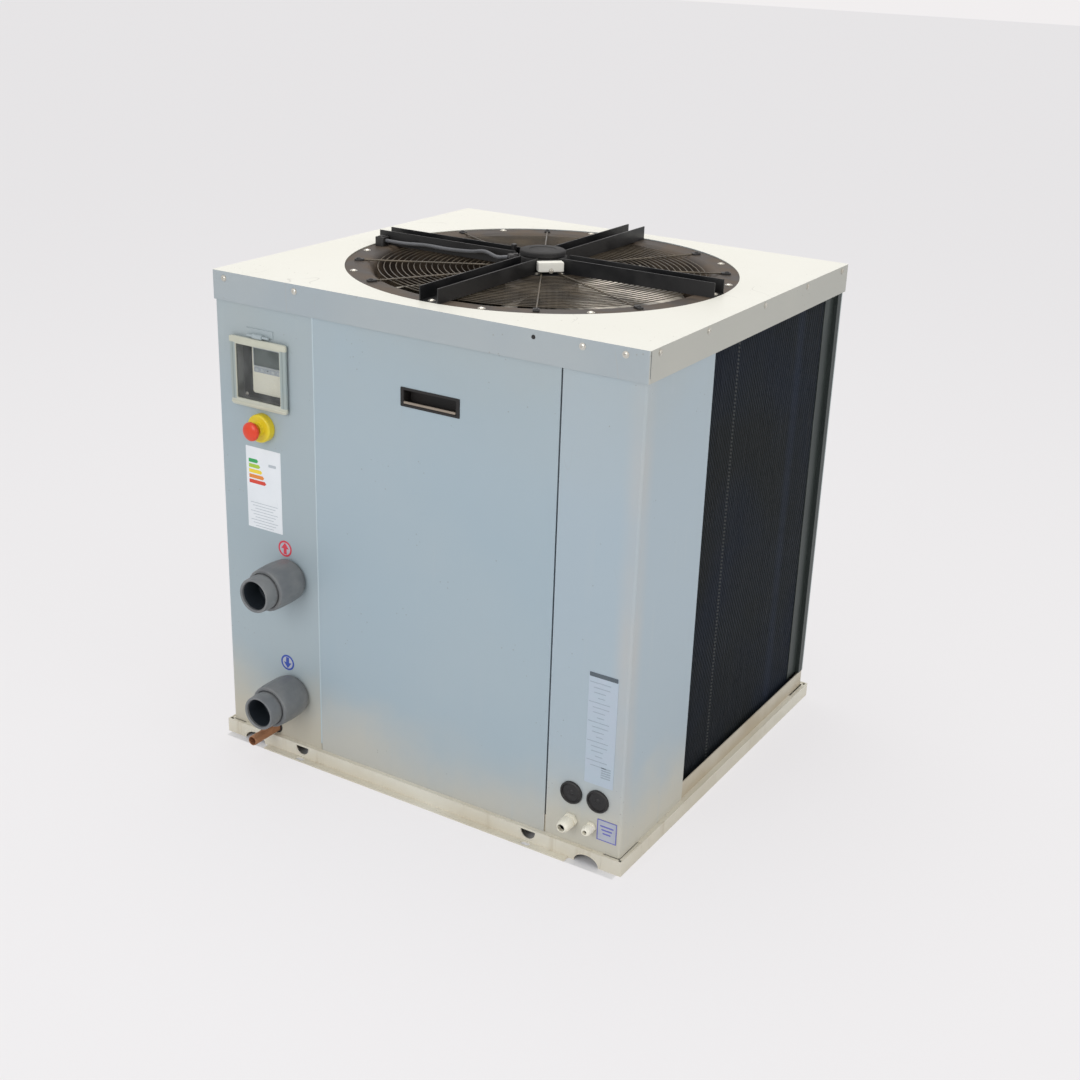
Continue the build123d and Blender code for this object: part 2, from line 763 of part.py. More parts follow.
# Controller box: an open tray on the left front panel
tray_inside = controller_size - 2 * controller_wall
with BuildPart() as controller_box:
    with BuildSketch(on_front(controller_x, -controller_sink)):
        with Locations((0, controller_z)):
            RectangleRounded(controller_size, controller_size, 2 * controller_wall)
    extrude(amount=controller_depth)
    with BuildSketch(on_front(controller_x, controller_wall - controller_sink)):
        with Locations((0, controller_z)):
            RectangleRounded(tray_inside, tray_inside, controller_wall)
    extrude(amount=controller_depth, mode=Mode.SUBTRACT)
save(controller_box, "controller_box")

pad_x = controller_x + pad_offset_x
pad_z = controller_z + pad_raise
with BuildPart() as control_pad:
    with BuildSketch(on_front(pad_x, controller_wall - controller_sink)):
        with Locations((0, pad_z)):
            RectangleRounded(pad_width, pad_height, 2 * controller_wall)
    extrude(amount=pad_depth)
    pad_rim = control_pad.faces().sort_by(Axis.Y)[0].edges()
    chamfer(pad_rim, length=controller_wall / 2)
save(control_pad, "control_pad")

screen_z = pad_z + pad_height / 2 - screen_drop - screen_height / 2
with BuildPart() as control_screen:
    with BuildSketch(on_front(pad_x, controller_wall + pad_depth - controller_sink)):
        with Locations((0, screen_z)):
            RectangleRounded(screen_width, screen_height, controller_wall / 2)
    extrude(amount=screen_depth)
save(control_screen, "control_screen")

# Controller cover: a cap with a window, hung on knuckles above the box
cover_inside = controller_size + 2 * cover_clearance
cover_outside = cover_inside + 2 * cover_wall
tray_front = controller_depth - controller_sink
cover_front = tray_front + cover_clearance + pane_thick + cover_wall
cover_top = controller_z + cover_outside / 2
hinge_z = cover_top + hinge_lift
hinge_out = hinge_barrel_radius + hinge_leaf_thick
knuckle_start = hinge_centre_length / 2 + hinge_running_gap
with BuildPart() as controller_cover:
    with BuildSketch(on_front(controller_x, cover_clearance)):
        with Locations((0, controller_z)):
            RectangleRounded(cover_outside, cover_outside, 2 * controller_wall)
    extrude(amount=cover_front - cover_clearance)
    with BuildSketch(on_front(controller_x, cover_clearance)):
        with Locations((0, controller_z)):
            RectangleRounded(cover_inside, cover_inside, controller_wall)
    extrude(amount=cover_front - cover_clearance - cover_wall, mode=Mode.SUBTRACT)
    with BuildSketch(on_front(controller_x, cover_clearance)):
        with Locations((0, controller_z)):
            RectangleRounded(cover_window_width, cover_window_height, controller_wall)
    extrude(amount=cover_front, mode=Mode.SUBTRACT)
    for knuckle_side in (-1, 1):
        knuckle_x = left + controller_x + knuckle_side * (knuckle_start + hinge_knuckle_length / 2)
        with BuildSketch(Plane.YZ.offset(knuckle_x)):
            with Locations((front - hinge_out, hinge_z)):
                Circle(hinge_barrel_radius)
            with Locations((front - cover_clearance - cover_wall, (hinge_z + cover_top - cover_wall) / 2)):
                Rectangle(2 * cover_wall, hinge_z - cover_top + cover_wall)
            with Locations((front - hinge_out, hinge_z)):
                Circle(hinge_pin_radius + hinge_running_gap, mode=Mode.SUBTRACT)
        extrude(amount=hinge_knuckle_length / 2, both=True)
save(controller_cover, "controller_cover")

# Cover pane: clear sheet behind the cover's window
with BuildPart() as cover_pane:
    with BuildSketch(on_front(controller_x, cover_front - cover_wall - pane_thick)):
        with Locations((0, controller_z)):
            RectangleRounded(
                cover_window_width + 2 * pane_lap,
                cover_window_height + 2 * pane_lap,
                controller_wall,
            )
    extrude(amount=pane_thick)
save(cover_pane, "cover_pane")

# Cover hinge: a leaf on the panel with the middle barrel and the pin
leaf_bottom = hinge_z
with BuildPart() as cover_hinge:
    with BuildSketch(on_front(controller_x)):
        with Locations((0, leaf_bottom + hinge_leaf_height / 2)):
            Rectangle(hinge_leaf_width, hinge_leaf_height)
    extrude(amount=hinge_leaf_thick)
    with BuildSketch(Plane.YZ.offset(left + controller_x)):
        with Locations((front - hinge_out, hinge_z)):
            Circle(hinge_barrel_radius)
        with Locations((front - hinge_out / 2, hinge_z + hinge_barrel_radius / 2)):
            Rectangle(hinge_out, hinge_barrel_radius)
    extrude(amount=hinge_centre_length / 2, both=True)
    with BuildSketch(Plane.YZ.offset(left + controller_x)):
        with Locations((front - hinge_out, hinge_z)):
            Circle(hinge_pin_radius)
    extrude(amount=knuckle_start + hinge_knuckle_length, both=True)
save(cover_hinge, "cover_hinge")

# Emergency stop: a collar with a neck, and a mushroom button whose stem slides in it
with BuildPart() as estop_collar:
    with BuildSketch(on_front(stop_x)):
        with Locations((0, stop_z)):
            Circle(stop_collar_radius)
    extrude(amount=stop_collar_depth)
    chamfer(estop_collar.edges().group_by(Axis.Y)[0], length=controller_wall)
    with BuildSketch(on_front(stop_x, stop_collar_depth)):
        with Locations((0, stop_z)):
            Circle(stop_neck_radius)
    extrude(amount=stop_neck_depth - stop_collar_depth)
    with BuildSketch(on_front(stop_x, controller_wall)):
        with Locations((0, stop_z)):
            Circle(stop_stem_radius + hinge_running_gap)
    extrude(amount=stop_neck_depth, mode=Mode.SUBTRACT)
save(estop_collar, "estop_collar")

stem_start = stop_collar_depth / 2
head_start = stop_neck_depth + stop_head_gap
head_end = head_start + stop_head_depth
dome_rise = stop_head_depth / 2
with BuildPart() as estop_button:
    with BuildSketch(Plane.YZ.offset(left + stop_x)):
        with BuildLine():
            Polyline(
                (front - stem_start, stop_z),
                (front - stem_start, stop_z + stop_stem_radius),
                (front - head_start, stop_z + stop_stem_radius),
                (front - head_start, stop_z + stop_head_radius),
                (front - head_end + dome_rise, stop_z + stop_head_radius),
                (front - head_end + dome_rise / 4, stop_z + 0.7 * stop_head_radius),
                (front - head_end, stop_z + 0.35 * stop_head_radius),
                (front - head_end, stop_z),
                close=True,
            )
        make_face()
    revolve(axis=Axis((left + stop_x, front, stop_z), (0, 1, 0)))
save(estop_button, "estop_button")

# Water connections: a socket through the panel and its grip nut
socket_radius = socket_bore + socket_wall
for water_z, water_name in ((water_outlet_z, "outlet"), (water_inlet_z, "inlet")):
    with BuildPart() as water_socket:
        with BuildSketch(on_front(water_x, -socket_inside)):
            with Locations((0, water_z)):
                Circle(socket_radius)
                Circle(pipe_bore, mode=Mode.SUBTRACT)
        extrude(amount=socket_inside + water_reach)
        with BuildSketch(on_front(water_x, water_reach - socket_depth)):
            with Locations((0, water_z)):
                Circle(socket_bore)
        extrude(amount=socket_depth, mode=Mode.SUBTRACT)
    save(water_socket, f"water_{water_name}_socket")
    with BuildPart() as water_nut:
        with BuildSketch(on_front(water_x, nut_start)):
            with Locations((0, water_z)):
                Circle(nut_end_radius)
                Circle(socket_radius + seat_gap, mode=Mode.SUBTRACT)
        extrude(amount=nut_length)
        with BuildSketch(on_front(water_x, nut_start + nut_shoulder)):
            with Locations((0, water_z)):
                Circle(nut_radius)
                with PolarLocations(nut_radius, nut_grip_count):
                    Rectangle(nut_grip_depth, nut_grip_width)
                Circle(socket_radius + seat_gap, mode=Mode.SUBTRACT)
        extrude(amount=nut_length - 2 * nut_shoulder)
    save(water_nut, f"water_{water_name}_nut")

# Condensate drain: a straight stub from the pan's edge through the panel
with BuildPart() as drain_stub:
    with BuildSketch(on_front(drain_x, -drain_inside)):
        with Locations((0, drain_z)):
            Circle(drain_radius - drain_shoulder)
    extrude(amount=drain_inside + drain_shoulder)
    with BuildSketch(on_front(drain_x, drain_shoulder)):
        with Locations((0, drain_z)):
            Circle(drain_radius)
    extrude(amount=drain_reach - drain_shoulder)
    with BuildSketch(on_front(drain_x, -drain_inside)):
        with Locations((0, drain_z)):
            Circle(drain_bore)
    extrude(amount=drain_inside + drain_reach, mode=Mode.SUBTRACT)
save(drain_stub, "drain_stub")

# Blank plugs and cable glands on the right front panel
with BuildPart() as blank_plugs:
    for inset in plug_inset:
        with BuildSketch(on_front(width - inset)):
            with Locations((0, plug_z)):
                RegularPolygon(plug_radius, plug_sides)
        extrude(amount=plug_depth)
save(blank_plugs, "blank_plugs")

with BuildPart() as cable_glands:
    for inset, nut, reach, bore, bore_depth in zip(
        gland_inset, gland_nut_radius, gland_length, gland_bore, gland_bore_depth
    ):
        gland_at = width - inset
        with BuildSketch(on_front(gland_at)):
            with Locations((0, gland_z)):
                RegularPolygon(nut, 6)
        extrude(amount=reach / 3)
        with BuildSketch(on_front(gland_at, reach / 3)):
            with Locations((0, gland_z)):
                Circle(0.82 * nut)
        extrude(amount=reach * 2 / 3)
        with BuildSketch(on_front(gland_at, reach - bore_depth)):
            with Locations((0, gland_z)):
                Circle(bore)
        extrude(amount=bore_depth, mode=Mode.SUBTRACT)
save(cable_glands, "cable_glands")
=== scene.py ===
import math
import bpy
import bmesh
import numpy as np
from mathutils import Matrix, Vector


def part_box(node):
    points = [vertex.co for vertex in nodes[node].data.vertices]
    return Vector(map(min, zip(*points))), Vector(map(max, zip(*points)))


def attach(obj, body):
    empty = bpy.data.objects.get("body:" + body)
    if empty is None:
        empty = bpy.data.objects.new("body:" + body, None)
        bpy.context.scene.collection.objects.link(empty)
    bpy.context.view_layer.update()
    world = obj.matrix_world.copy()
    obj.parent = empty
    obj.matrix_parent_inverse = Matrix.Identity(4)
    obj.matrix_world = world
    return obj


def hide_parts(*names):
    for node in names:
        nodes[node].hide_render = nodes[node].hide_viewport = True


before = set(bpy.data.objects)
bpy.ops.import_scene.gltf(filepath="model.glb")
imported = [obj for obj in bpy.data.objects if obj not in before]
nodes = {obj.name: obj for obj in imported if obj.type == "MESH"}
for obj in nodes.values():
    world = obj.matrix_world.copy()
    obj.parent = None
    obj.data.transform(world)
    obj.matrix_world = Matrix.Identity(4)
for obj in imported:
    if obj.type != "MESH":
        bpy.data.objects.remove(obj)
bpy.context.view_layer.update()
print("frame loaded:", len(nodes), "nodes")

# Side names to the directions of a local shape: its width, its height and outwards.
sides = {
    "front": ((1, 0, 0), (0, 0, 1), (0, -1, 0)),
    "right": ((0, 1, 0), (0, 0, 1), (1, 0, 0)),
    "rear": ((-1, 0, 0), (0, 0, 1), (0, 1, 0)),
    "left": ((0, -1, 0), (0, 0, 1), (-1, 0, 0)),
    "top": ((1, 0, 0), (0, 1, 0), (0, 0, 1)),
}


def gridFaces(rows, columns, closeRows=False, closeColumns=False):
    # The four corner numbers of each cell between neighbouring rows and columns of points.
    row = np.arange(rows if closeRows else rows - 1)
    column = np.arange(columns if closeColumns else columns - 1)
    a, b = np.meshgrid(row, column, indexing="ij")
    c, d = (a + 1) % rows, (b + 1) % columns
    corners = [a * columns + b, c * columns + b, c * columns + d, a * columns + d]
    return np.stack(corners, -1).reshape(-1, 4)


def gridShape(grid, closeRows=False, closeColumns=False, caps=()):
    # A grid of points as a skin; a cap closes its first or last row with one flat face.
    rows, columns = grid.shape[:2]
    faces = [gridFaces(rows, columns, closeRows, closeColumns)]
    if "first" in caps:
        faces.append(np.arange(columns)[None, :])
    if "last" in caps:
        faces.append(np.arange(columns)[None, :] + (rows - 1) * columns)
    return grid.reshape(-1, 3), faces


def joined(*shapes):
    # Several shapes as one, each one's corner numbers moved on past those before it.
    points, faces, start = [], [], 0
    for shapePoints, shapeFaces in shapes:
        points.append(shapePoints)
        faces += [face + start for face in shapeFaces]
        start += len(shapePoints)
    return np.concatenate(points), faces


def turned(profile, turns=48, ring=False, lobes=0, lobeDepth=0.0, phase=0.0):
    # Points (radius, height) carried round the local height axis; lobes swell the radius by a cosine.
    profile = np.array(profile, float)
    angle = np.linspace(0, 2 * math.pi, turns, endpoint=False) + phase
    radius = profile[:, 0, None] + lobeDepth * np.cos(lobes * angle)[None, :]
    height = np.broadcast_to(profile[:, 1, None], radius.shape)
    grid = np.stack([radius * np.cos(angle), radius * np.sin(angle), height], -1)
    return gridShape(grid, closeRows=ring, closeColumns=True, caps=() if ring else ("first", "last"))


def stacked(layers, perCorner=5, ring=False):
    # Rounded rectangles (width, height, corner radius, lift) joined one to the next, with flat ends or as a ring.
    quarter = np.linspace(0, math.pi / 2, perCorner)
    angle = np.concatenate([quarter + k * math.pi / 2 for k in range(4)])
    signX = np.repeat([1, -1, -1, 1], perCorner)
    signY = np.repeat([1, 1, -1, -1], perCorner)
    w, h, r, z = [np.array(layers, float)[:, k, None] for k in range(4)]
    x = signX * (w / 2 - r) + r * np.cos(angle)
    y = signY * (h / 2 - r) + r * np.sin(angle)
    grid = np.stack([x, y, np.broadcast_to(z, x.shape)], -1)
    return gridShape(grid, closeRows=ring, closeColumns=True, caps=() if ring else ("first", "last"))


def softSlab(width, height, thick, corner, edge, lift=0.0):
    # A rounded plate whose top edge is eased through a quarter circle.
    turn = np.linspace(0, math.pi / 2, 4)
    layers = [(width, height, corner, lift)]
    for t in turn:
        shrink = edge * (1 - math.cos(t))
        rise = lift + thick - edge + edge * math.sin(t)
        layers.append((width - 2 * shrink, height - 2 * shrink, max(corner - shrink, 1e-5), rise))
    return stacked(layers)


def tube(path, radius, around=10, closed=False, up=(0, 0, 1)):
    # A circle carried along a path, upright to it.
    path = np.array(path, float)
    if closed:
        ahead = np.roll(path, -1, 0) - np.roll(path, 1, 0)
    else:
        ahead = np.gradient(path, axis=0)
    ahead /= np.linalg.norm(ahead, axis=1)[:, None]
    across = np.cross(ahead, np.array(up, float))
    across /= np.linalg.norm(across, axis=1)[:, None]
    over = np.cross(across, ahead)
    angle = np.linspace(0, 2 * math.pi, around, endpoint=False)
    radius = np.broadcast_to(np.array(radius, float), (len(path),))[:, None, None]
    ring = across[:, None] * np.cos(angle)[None, :, None] + over[:, None] * np.sin(angle)[None, :, None]
    grid = path[:, None] + radius * ring
    return gridShape(grid, closeRows=closed, closeColumns=True, caps=() if closed else ("first", "last"))


def smoothPath(points, count):
    # A Catmull-Rom curve through the points, sampled evenly between each pair.
    p = np.array(points, float)
    p = np.concatenate([[2 * p[0] - p[1]], p, [2 * p[-1] - p[-2]]])
    where = np.linspace(0, len(points) - 1, count)
    k = np.minimum(where.astype(int), len(points) - 2)
    t = (where - k)[:, None]
    a, b, c, d = p[k], p[k + 1], p[k + 2], p[k + 3]
    return 0.5 * (2 * b + (c - a) * t + (2 * a - 5 * b + 4 * c - d) * t**2 + (3 * b - a - 3 * c + d) * t**3)


def placed(shape, origin, side="front"):
    return shape[0] @ np.array(sides[side], float) + np.array(origin, float), shape[1]


def spun(shape, degrees):
    # The shape turned about the upright axis through the origin.
    c, s = math.cos(math.radians(degrees)), math.sin(math.radians(degrees))
    return shape[0] @ np.array([[c, s, 0], [-s, c, 0], [0, 0, 1]]), shape[1]


def leaned(shape, axis, degrees):
    turn = np.array(Matrix.Rotation(math.radians(degrees), 3, axis))
    return shape[0] @ turn.T, shape[1]


def moved(shape, offset):
    return shape[0] + np.array(offset, float), shape[1]


def addPiece(name, shape, material, body="cabinet", stands=(), crease=35, bevel=0.0):
    points, faces = shape
    mesh = bpy.data.meshes.new(name)
    corners = np.concatenate([face.ravel() for face in faces])
    counts = np.concatenate([np.full(len(face), face.shape[1]) for face in faces])
    mesh.vertices.add(len(points))
    mesh.vertices.foreach_set("co", np.asarray(points, np.float32).ravel())
    mesh.loops.add(len(corners))
    mesh.loops.foreach_set("vertex_index", corners.astype(np.int32))
    mesh.polygons.add(len(counts))
    mesh.polygons.foreach_set("loop_start", (np.cumsum(counts) - counts).astype(np.int32))
    mesh.update(calc_edges=True)
    work = bmesh.new()
    work.from_mesh(mesh)
    bmesh.ops.recalc_face_normals(work, faces=work.faces)
    work.to_mesh(mesh)
    work.free()
    mesh.polygons.foreach_set("use_smooth", np.ones(len(counts), bool))
    mesh.set_sharp_from_angle(angle=math.radians(crease))
    piece = bpy.data.objects.new(name, mesh)
    bpy.context.scene.collection.objects.link(piece)
    for one in material if isinstance(material, (list, tuple)) else [material]:
        mesh.materials.append(one)
    if bevel:
        soften = piece.modifiers.new("easedEdges", "BEVEL")
        soften.width = bevel
        soften.segments = 2
        soften.limit_method = "ANGLE"
    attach(piece, body)
    if stands:
        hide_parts(*stands)
    return piece


# Shared effects: node groups that put out a mask or a height from object coordinates.
def newGroup(name, inputs, outputs):
    group = bpy.data.node_groups.new(name, "ShaderNodeTree")
    for socket, kind, value in inputs:
        made = group.interface.new_socket(socket, in_out="INPUT", socket_type="NodeSocket" + kind)
        if value is not None:
            made.default_value = value
    for socket, kind in outputs:
        group.interface.new_socket(socket, in_out="OUTPUT", socket_type="NodeSocket" + kind)
    return group, group.nodes.new("NodeGroupInput"), group.nodes.new("NodeGroupOutput")


def addNode(tree, kind, links=(), **settings):
    # One node; links are (input, source socket or value) and settings are its own properties.
    node = tree.nodes.new("ShaderNode" + kind)
    for key, value in settings.items():
        setattr(node, key, value)
    for socket, source in links:
        if isinstance(source, bpy.types.NodeSocket):
            tree.links.new(source, node.inputs[socket])
        else:
            node.inputs[socket].default_value = source
    return node


def math2(tree, operation, a, b=0.0, clamp=False):
    return addNode(tree, "Math", [(0, a), (1, b)], operation=operation, use_clamp=clamp).outputs[0]


def ramp(tree, value, low, high):
    # A smooth step from 0 at low to 1 at high.
    node = addNode(tree, "MapRange", [("Value", value), ("From Min", low), ("From Max", high)])
    node.interpolation_type = "SMOOTHSTEP"
    return node.outputs["Result"]


def coordinates(tree, scale=(1, 1, 1), turn=(0, 0, 0)):
    place = addNode(tree, "TexCoord")
    links = [("Vector", place.outputs["Object"]), ("Scale", scale), ("Rotation", turn)]
    return addNode(tree, "Mapping", links).outputs["Vector"]


def noise(tree, vector, scale, detail=3.0, rough=0.55):
    links = [("Vector", vector), ("Scale", scale), ("Detail", detail), ("Roughness", rough)]
    return addNode(tree, "TexNoise", links).outputs["Fac"]


def makeCloud():
    # Soft uneven patches, for dust and fading.
    group, given, out = newGroup("softPatches", [("Scale", "Float", 3.0), ("Spread", "Float", 0.2)], [("Mask", "Float")])
    patches = addNode(group, "TexNoise", [("Vector", coordinates(group)), ("Scale", given.outputs["Scale"]), ("Detail", 5.0)])
    low = math2(group, "SUBTRACT", 0.5, given.outputs["Spread"])
    high = math2(group, "ADD", 0.5, given.outputs["Spread"])
    group.links.new(ramp(group, patches.outputs["Fac"], low, high), out.inputs["Mask"])
    return group


def makeStreaks():
    # Runs of rain down a wall: noise pulled long in height and broken up by a second noise.
    inputs = [("Width", "Float", 40.0), ("Start", "Float", 0.55)]
    group, given, out = newGroup("rainStreaks", inputs, [("Mask", "Float")])
    runs = addNode(group, "TexNoise", [("Vector", coordinates(group, (1, 1, 0.05))), ("Scale", given.outputs["Width"]), ("Detail", 4.0)])
    breaks = noise(group, coordinates(group), 6.0)
    mask = ramp(group, runs.outputs["Fac"], given.outputs["Start"], math2(group, "ADD", given.outputs["Start"], 0.16))
    group.links.new(math2(group, "MULTIPLY", mask, ramp(group, breaks, 0.42, 0.62)), out.inputs["Mask"])
    return group


def makeSpecks():
    # Small round marks, where a cell pattern's distance is short, kept only where a noise allows them.
    inputs = [("Scale", "Float", 60.0), ("Size", "Float", 0.18), ("Rarity", "Float", 0.55)]
    group, given, out = newGroup("specks", inputs, [("Mask", "Float")])
    cells = addNode(group, "TexVoronoi", [("Vector", coordinates(group)), ("Scale", given.outputs["Scale"])])
    near = math2(group, "LESS_THAN", cells.outputs["Distance"], given.outputs["Size"])
    some = math2(group, "GREATER_THAN", noise(group, coordinates(group), 9.0), given.outputs["Rarity"])
    group.links.new(math2(group, "MULTIPLY", near, some), out.inputs["Mask"])
    return group


def makeScratches():
    # Thin lines: a noise stretched along a slant, cut to a narrow band about its middle value.
    inputs = [("Scale", "Float", 9.0), ("Width", "Float", 0.004), ("Rarity", "Float", 0.6)]
    group, given, out = newGroup("scratches", inputs, [("Mask", "Float")])
    slant = coordinates(group, (1, 1, 0.16), (0.5, 0.35, 0.2))
    lines = addNode(group, "TexNoise", [("Vector", slant), ("Scale", given.outputs["Scale"]), ("Detail", 1.0)])
    away = math2(group, "ABSOLUTE", math2(group, "SUBTRACT", lines.outputs["Fac"], 0.5))
    thin = math2(group, "LESS_THAN", away, given.outputs["Width"])
    some = ramp(group, noise(group, coordinates(group), 5.0), given.outputs["Rarity"], math2(group, "ADD", given.outputs["Rarity"], 0.05))
    group.links.new(math2(group, "MULTIPLY", thin, some), out.inputs["Mask"])
    return group


def makeGrain():
    # A fine uneven height, such as powder coat or a moulded texture.
    inputs = [("Scale", "Float", 700.0), ("Coarse", "Float", 0.3)]
    group, given, out = newGroup("fineGrain", inputs, [("Height", "Float")])
    place = coordinates(group)
    fine = addNode(group, "TexNoise", [("Vector", place), ("Scale", given.outputs["Scale"]), ("Detail", 2.0)])
    wide = noise(group, place, 18.0, 2.0)
    mixed = math2(group, "MULTIPLY_ADD", wide, given.outputs["Coarse"])
    group.links.new(fine.outputs["Fac"], mixed.node.inputs[2])
    group.links.new(mixed, out.inputs["Height"])
    return group


def makeHeightBand():
    # 1 low down and 0 above, with an uneven edge: the tide of splashed dirt.
    inputs = [("Low", "Float", 0.05), ("High", "Float", 0.3)]
    group, given, out = newGroup("splashBand", inputs, [("Mask", "Float")])
    place = coordinates(group)
    height = addNode(group, "SeparateXYZ", [(0, place)]).outputs["Z"]
    uneven = math2(group, "MULTIPLY", math2(group, "SUBTRACT", noise(group, place, 4.0, 5.0), 0.5), 0.25)
    level = math2(group, "ADD", height, uneven)
    group.links.new(math2(group, "SUBTRACT", 1.0, ramp(group, level, given.outputs["Low"], given.outputs["High"])), out.inputs["Mask"])
    return group


effects = {
    "patches": makeCloud(),
    "streaks": makeStreaks(),
    "specks": makeSpecks(),
    "scratches": makeScratches(),
    "grain": makeGrain(),
    "splash": makeHeightBand(),
}
print("shared effects made")


def effect(tree, name, **values):
    node = tree.nodes.new("ShaderNodeGroup")
    node.node_tree = effects[name]
    for key, value in values.items():
        node.inputs[key].default_value = value
    return node.outputs[0]


def mixColour(tree, mask, base, over, strength=1.0):
    # The base colour with another laid over it where the mask says.
    node = addNode(tree, "Mix", data_type="RGBA")
    tree.links.new(math2(tree, "MULTIPLY", mask, strength), node.inputs[0])
    for socket, value in ((6, base), (7, over)):
        if isinstance(value, bpy.types.NodeSocket):
            tree.links.new(value, node.inputs[socket])
        else:
            node.inputs[socket].default_value = (*value, 1.0)
    return node.outputs[2]


def facing(tree, axis):
    # How far the unturned surface normal points along an axis.
    normal = addNode(tree, "TexCoord").outputs["Normal"]
    return addNode(tree, "SeparateXYZ", [(0, normal)]).outputs[axis]


def finishMaterial(tree, colour, roughness, metallic=0.0, bump=None, bumpDepth=0.0002, **more):
    shader = tree.nodes["Principled BSDF"]
    links = {"Base Color": colour, "Roughness": roughness, "Metallic": metallic}
    for socket, value in links.items():
        if isinstance(value, bpy.types.NodeSocket):
            tree.links.new(value, shader.inputs[socket])
        elif socket == "Base Color":
            shader.inputs[socket].default_value = (*value, 1.0)
        else:
            shader.inputs[socket].default_value = value
    if bump is not None:
        height = addNode(tree, "Bump", [("Height", bump), ("Distance", bumpDepth), ("Strength", 1.0)])
        tree.links.new(height.outputs["Normal"], shader.inputs["Normal"])
    for socket, value in more.items():
        shader.inputs[socket.replace("_", " ")].default_value = value
    return tree


def newMaterial(name):
    material = bpy.data.materials.new(name)
    material.use_nodes = True
    return material, material.node_tree


def hexColour(code):
    # A colour written as on a screen, turned to the linear values that shaders use.
    parts = np.array([int(code[k:k + 2], 16) for k in (1, 3, 5)]) / 255
    linear = np.where(parts <= 0.04045, parts / 12.92, ((parts + 0.055) / 1.055) ** 2.4)
    return tuple(float(v) for v in linear)


def paintedSheet(name, colour, low, warm, dust, streak=0.25, band=(0.0, 0.34), rough=0.42, bend=None):
    # Powder coat: faded patches, warm splash low down, rain runs, specks and scratches; with bend given, a painted warm
    # light near the panel's front bend.
    material, tree = newMaterial(name)
    fade = effect(tree, "patches", Scale=2.6, Spread=0.3)
    painted = mixColour(tree, fade, hexColour(colour), hexColour(dust), 0.45)
    # Painted warm light near the front bend of the right panel, broken into patches.
    if bend is not None:
        place = addNode(tree, "SeparateXYZ", [(0, coordinates(tree))])
        near = math2(tree, "MULTIPLY", ramp(tree, place.outputs["X"], bend[0], bend[1]), ramp(tree, place.outputs["Y"], -0.405, -0.448))
        uneven = math2(tree, "MULTIPLY", near, effect(tree, "patches", Scale=4.0, Spread=0.4))
        painted = mixColour(tree, uneven, painted, hexColour(bend[2]), 0.75)
    level = addNode(tree, "SeparateXYZ", [(0, coordinates(tree))]).outputs["Z"]
    upper = math2(tree, "MULTIPLY", ramp(tree, level, 0.72, 1.02), effect(tree, "patches", Scale=3.1, Spread=0.4))
    painted = mixColour(tree, upper, painted, hexColour("#ADAFA8"), 0.6)
    painted = mixColour(tree, effect(tree, "splash", Low=band[0], High=band[1]), painted, hexColour(low), warm)
    painted = mixColour(tree, effect(tree, "streaks", Width=46.0, Start=0.55), painted, hexColour(dust), streak)
    painted = mixColour(tree, effect(tree, "specks", Scale=75.0, Size=0.11, Rarity=0.6), painted, (0.16, 0.14, 0.12), 0.35)
    painted = mixColour(tree, effect(tree, "scratches", Scale=11.0, Width=0.0012, Rarity=0.60), painted, (0.34, 0.34, 0.33), 0.22)
    dull = math2(tree, "MULTIPLY_ADD", fade, 0.14)
    dull.node.inputs[2].default_value = rough
    finishMaterial(tree, painted, dull, bump=effect(tree, "grain", Scale=520.0, Coarse=2.2), bumpDepth=0.00005)
    return material


def lidLitAndShaded(name, top, front, side, dust):
    # Lid paint with painted light: one grey, painted near white on the sunlit top, a painted cooler shade on the front
    # rim and painted warmer light on the side rims.
    material, tree = newMaterial(name)
    litTopShare = ramp(tree, facing(tree, "Z"), 0.5, 0.9)
    sideRimLightShare = ramp(tree, math2(tree, "ABSOLUTE", facing(tree, "X")), 0.5, 0.9)
    rim = mixColour(tree, sideRimLightShare, hexColour(front), hexColour(side))
    painted = mixColour(tree, litTopShare, rim, hexColour(top))
    painted = mixColour(tree, effect(tree, "patches", Scale=3.2, Spread=0.25), painted, hexColour(dust), 0.16)
    painted = mixColour(tree, effect(tree, "specks", Scale=60.0, Size=0.10, Rarity=0.58), painted, (0.25, 0.22, 0.17), 0.4)
    painted = mixColour(tree, effect(tree, "scratches", Scale=6.0, Width=0.002, Rarity=0.57), painted, (0.42, 0.40, 0.36), 0.4)
    finishMaterial(tree, painted, 0.44, bump=effect(tree, "grain", Scale=520.0, Coarse=2.0), bumpDepth=0.00005)
    return material


def plainMetal(name, colour, worn, metallic, rough, wornShare=0.5, grain=300.0, depth=0.00006, **more):
    # Bare or thinly painted metal with worn, duller patches and specks.
    material, tree = newMaterial(name)
    patches = effect(tree, "patches", Scale=14.0, Spread=0.14)
    tone = mixColour(tree, patches, hexColour(colour), hexColour(worn), wornShare)
    tone = mixColour(tree, effect(tree, "specks", Scale=130.0, Size=0.16, Rarity=0.54), tone, hexColour(worn), 0.6)
    dull = math2(tree, "MULTIPLY_ADD", patches, 0.18)
    dull.node.inputs[2].default_value = rough
    finishMaterial(tree, tone, dull, metallic, effect(tree, "grain", Scale=grain, Coarse=1.2), depth, **more)
    return material


def moulded(name, colour, dirt, rough, dirtShare=0.35, grain=900.0, depth=0.00004, **more):
    # Plastic: a fine moulded grain, hand grime in patches and small scuffs.
    material, tree = newMaterial(name)
    tone = mixColour(tree, effect(tree, "patches", Scale=22.0, Spread=0.2), hexColour(colour), hexColour(dirt), dirtShare)
    tone = mixColour(tree, effect(tree, "scratches", Scale=26.0, Width=0.004, Rarity=0.55), tone, hexColour(dirt), 0.5)
    finishMaterial(tree, tone, rough, 0.0, effect(tree, "grain", Scale=grain, Coarse=0.8), depth, **more)
    return material


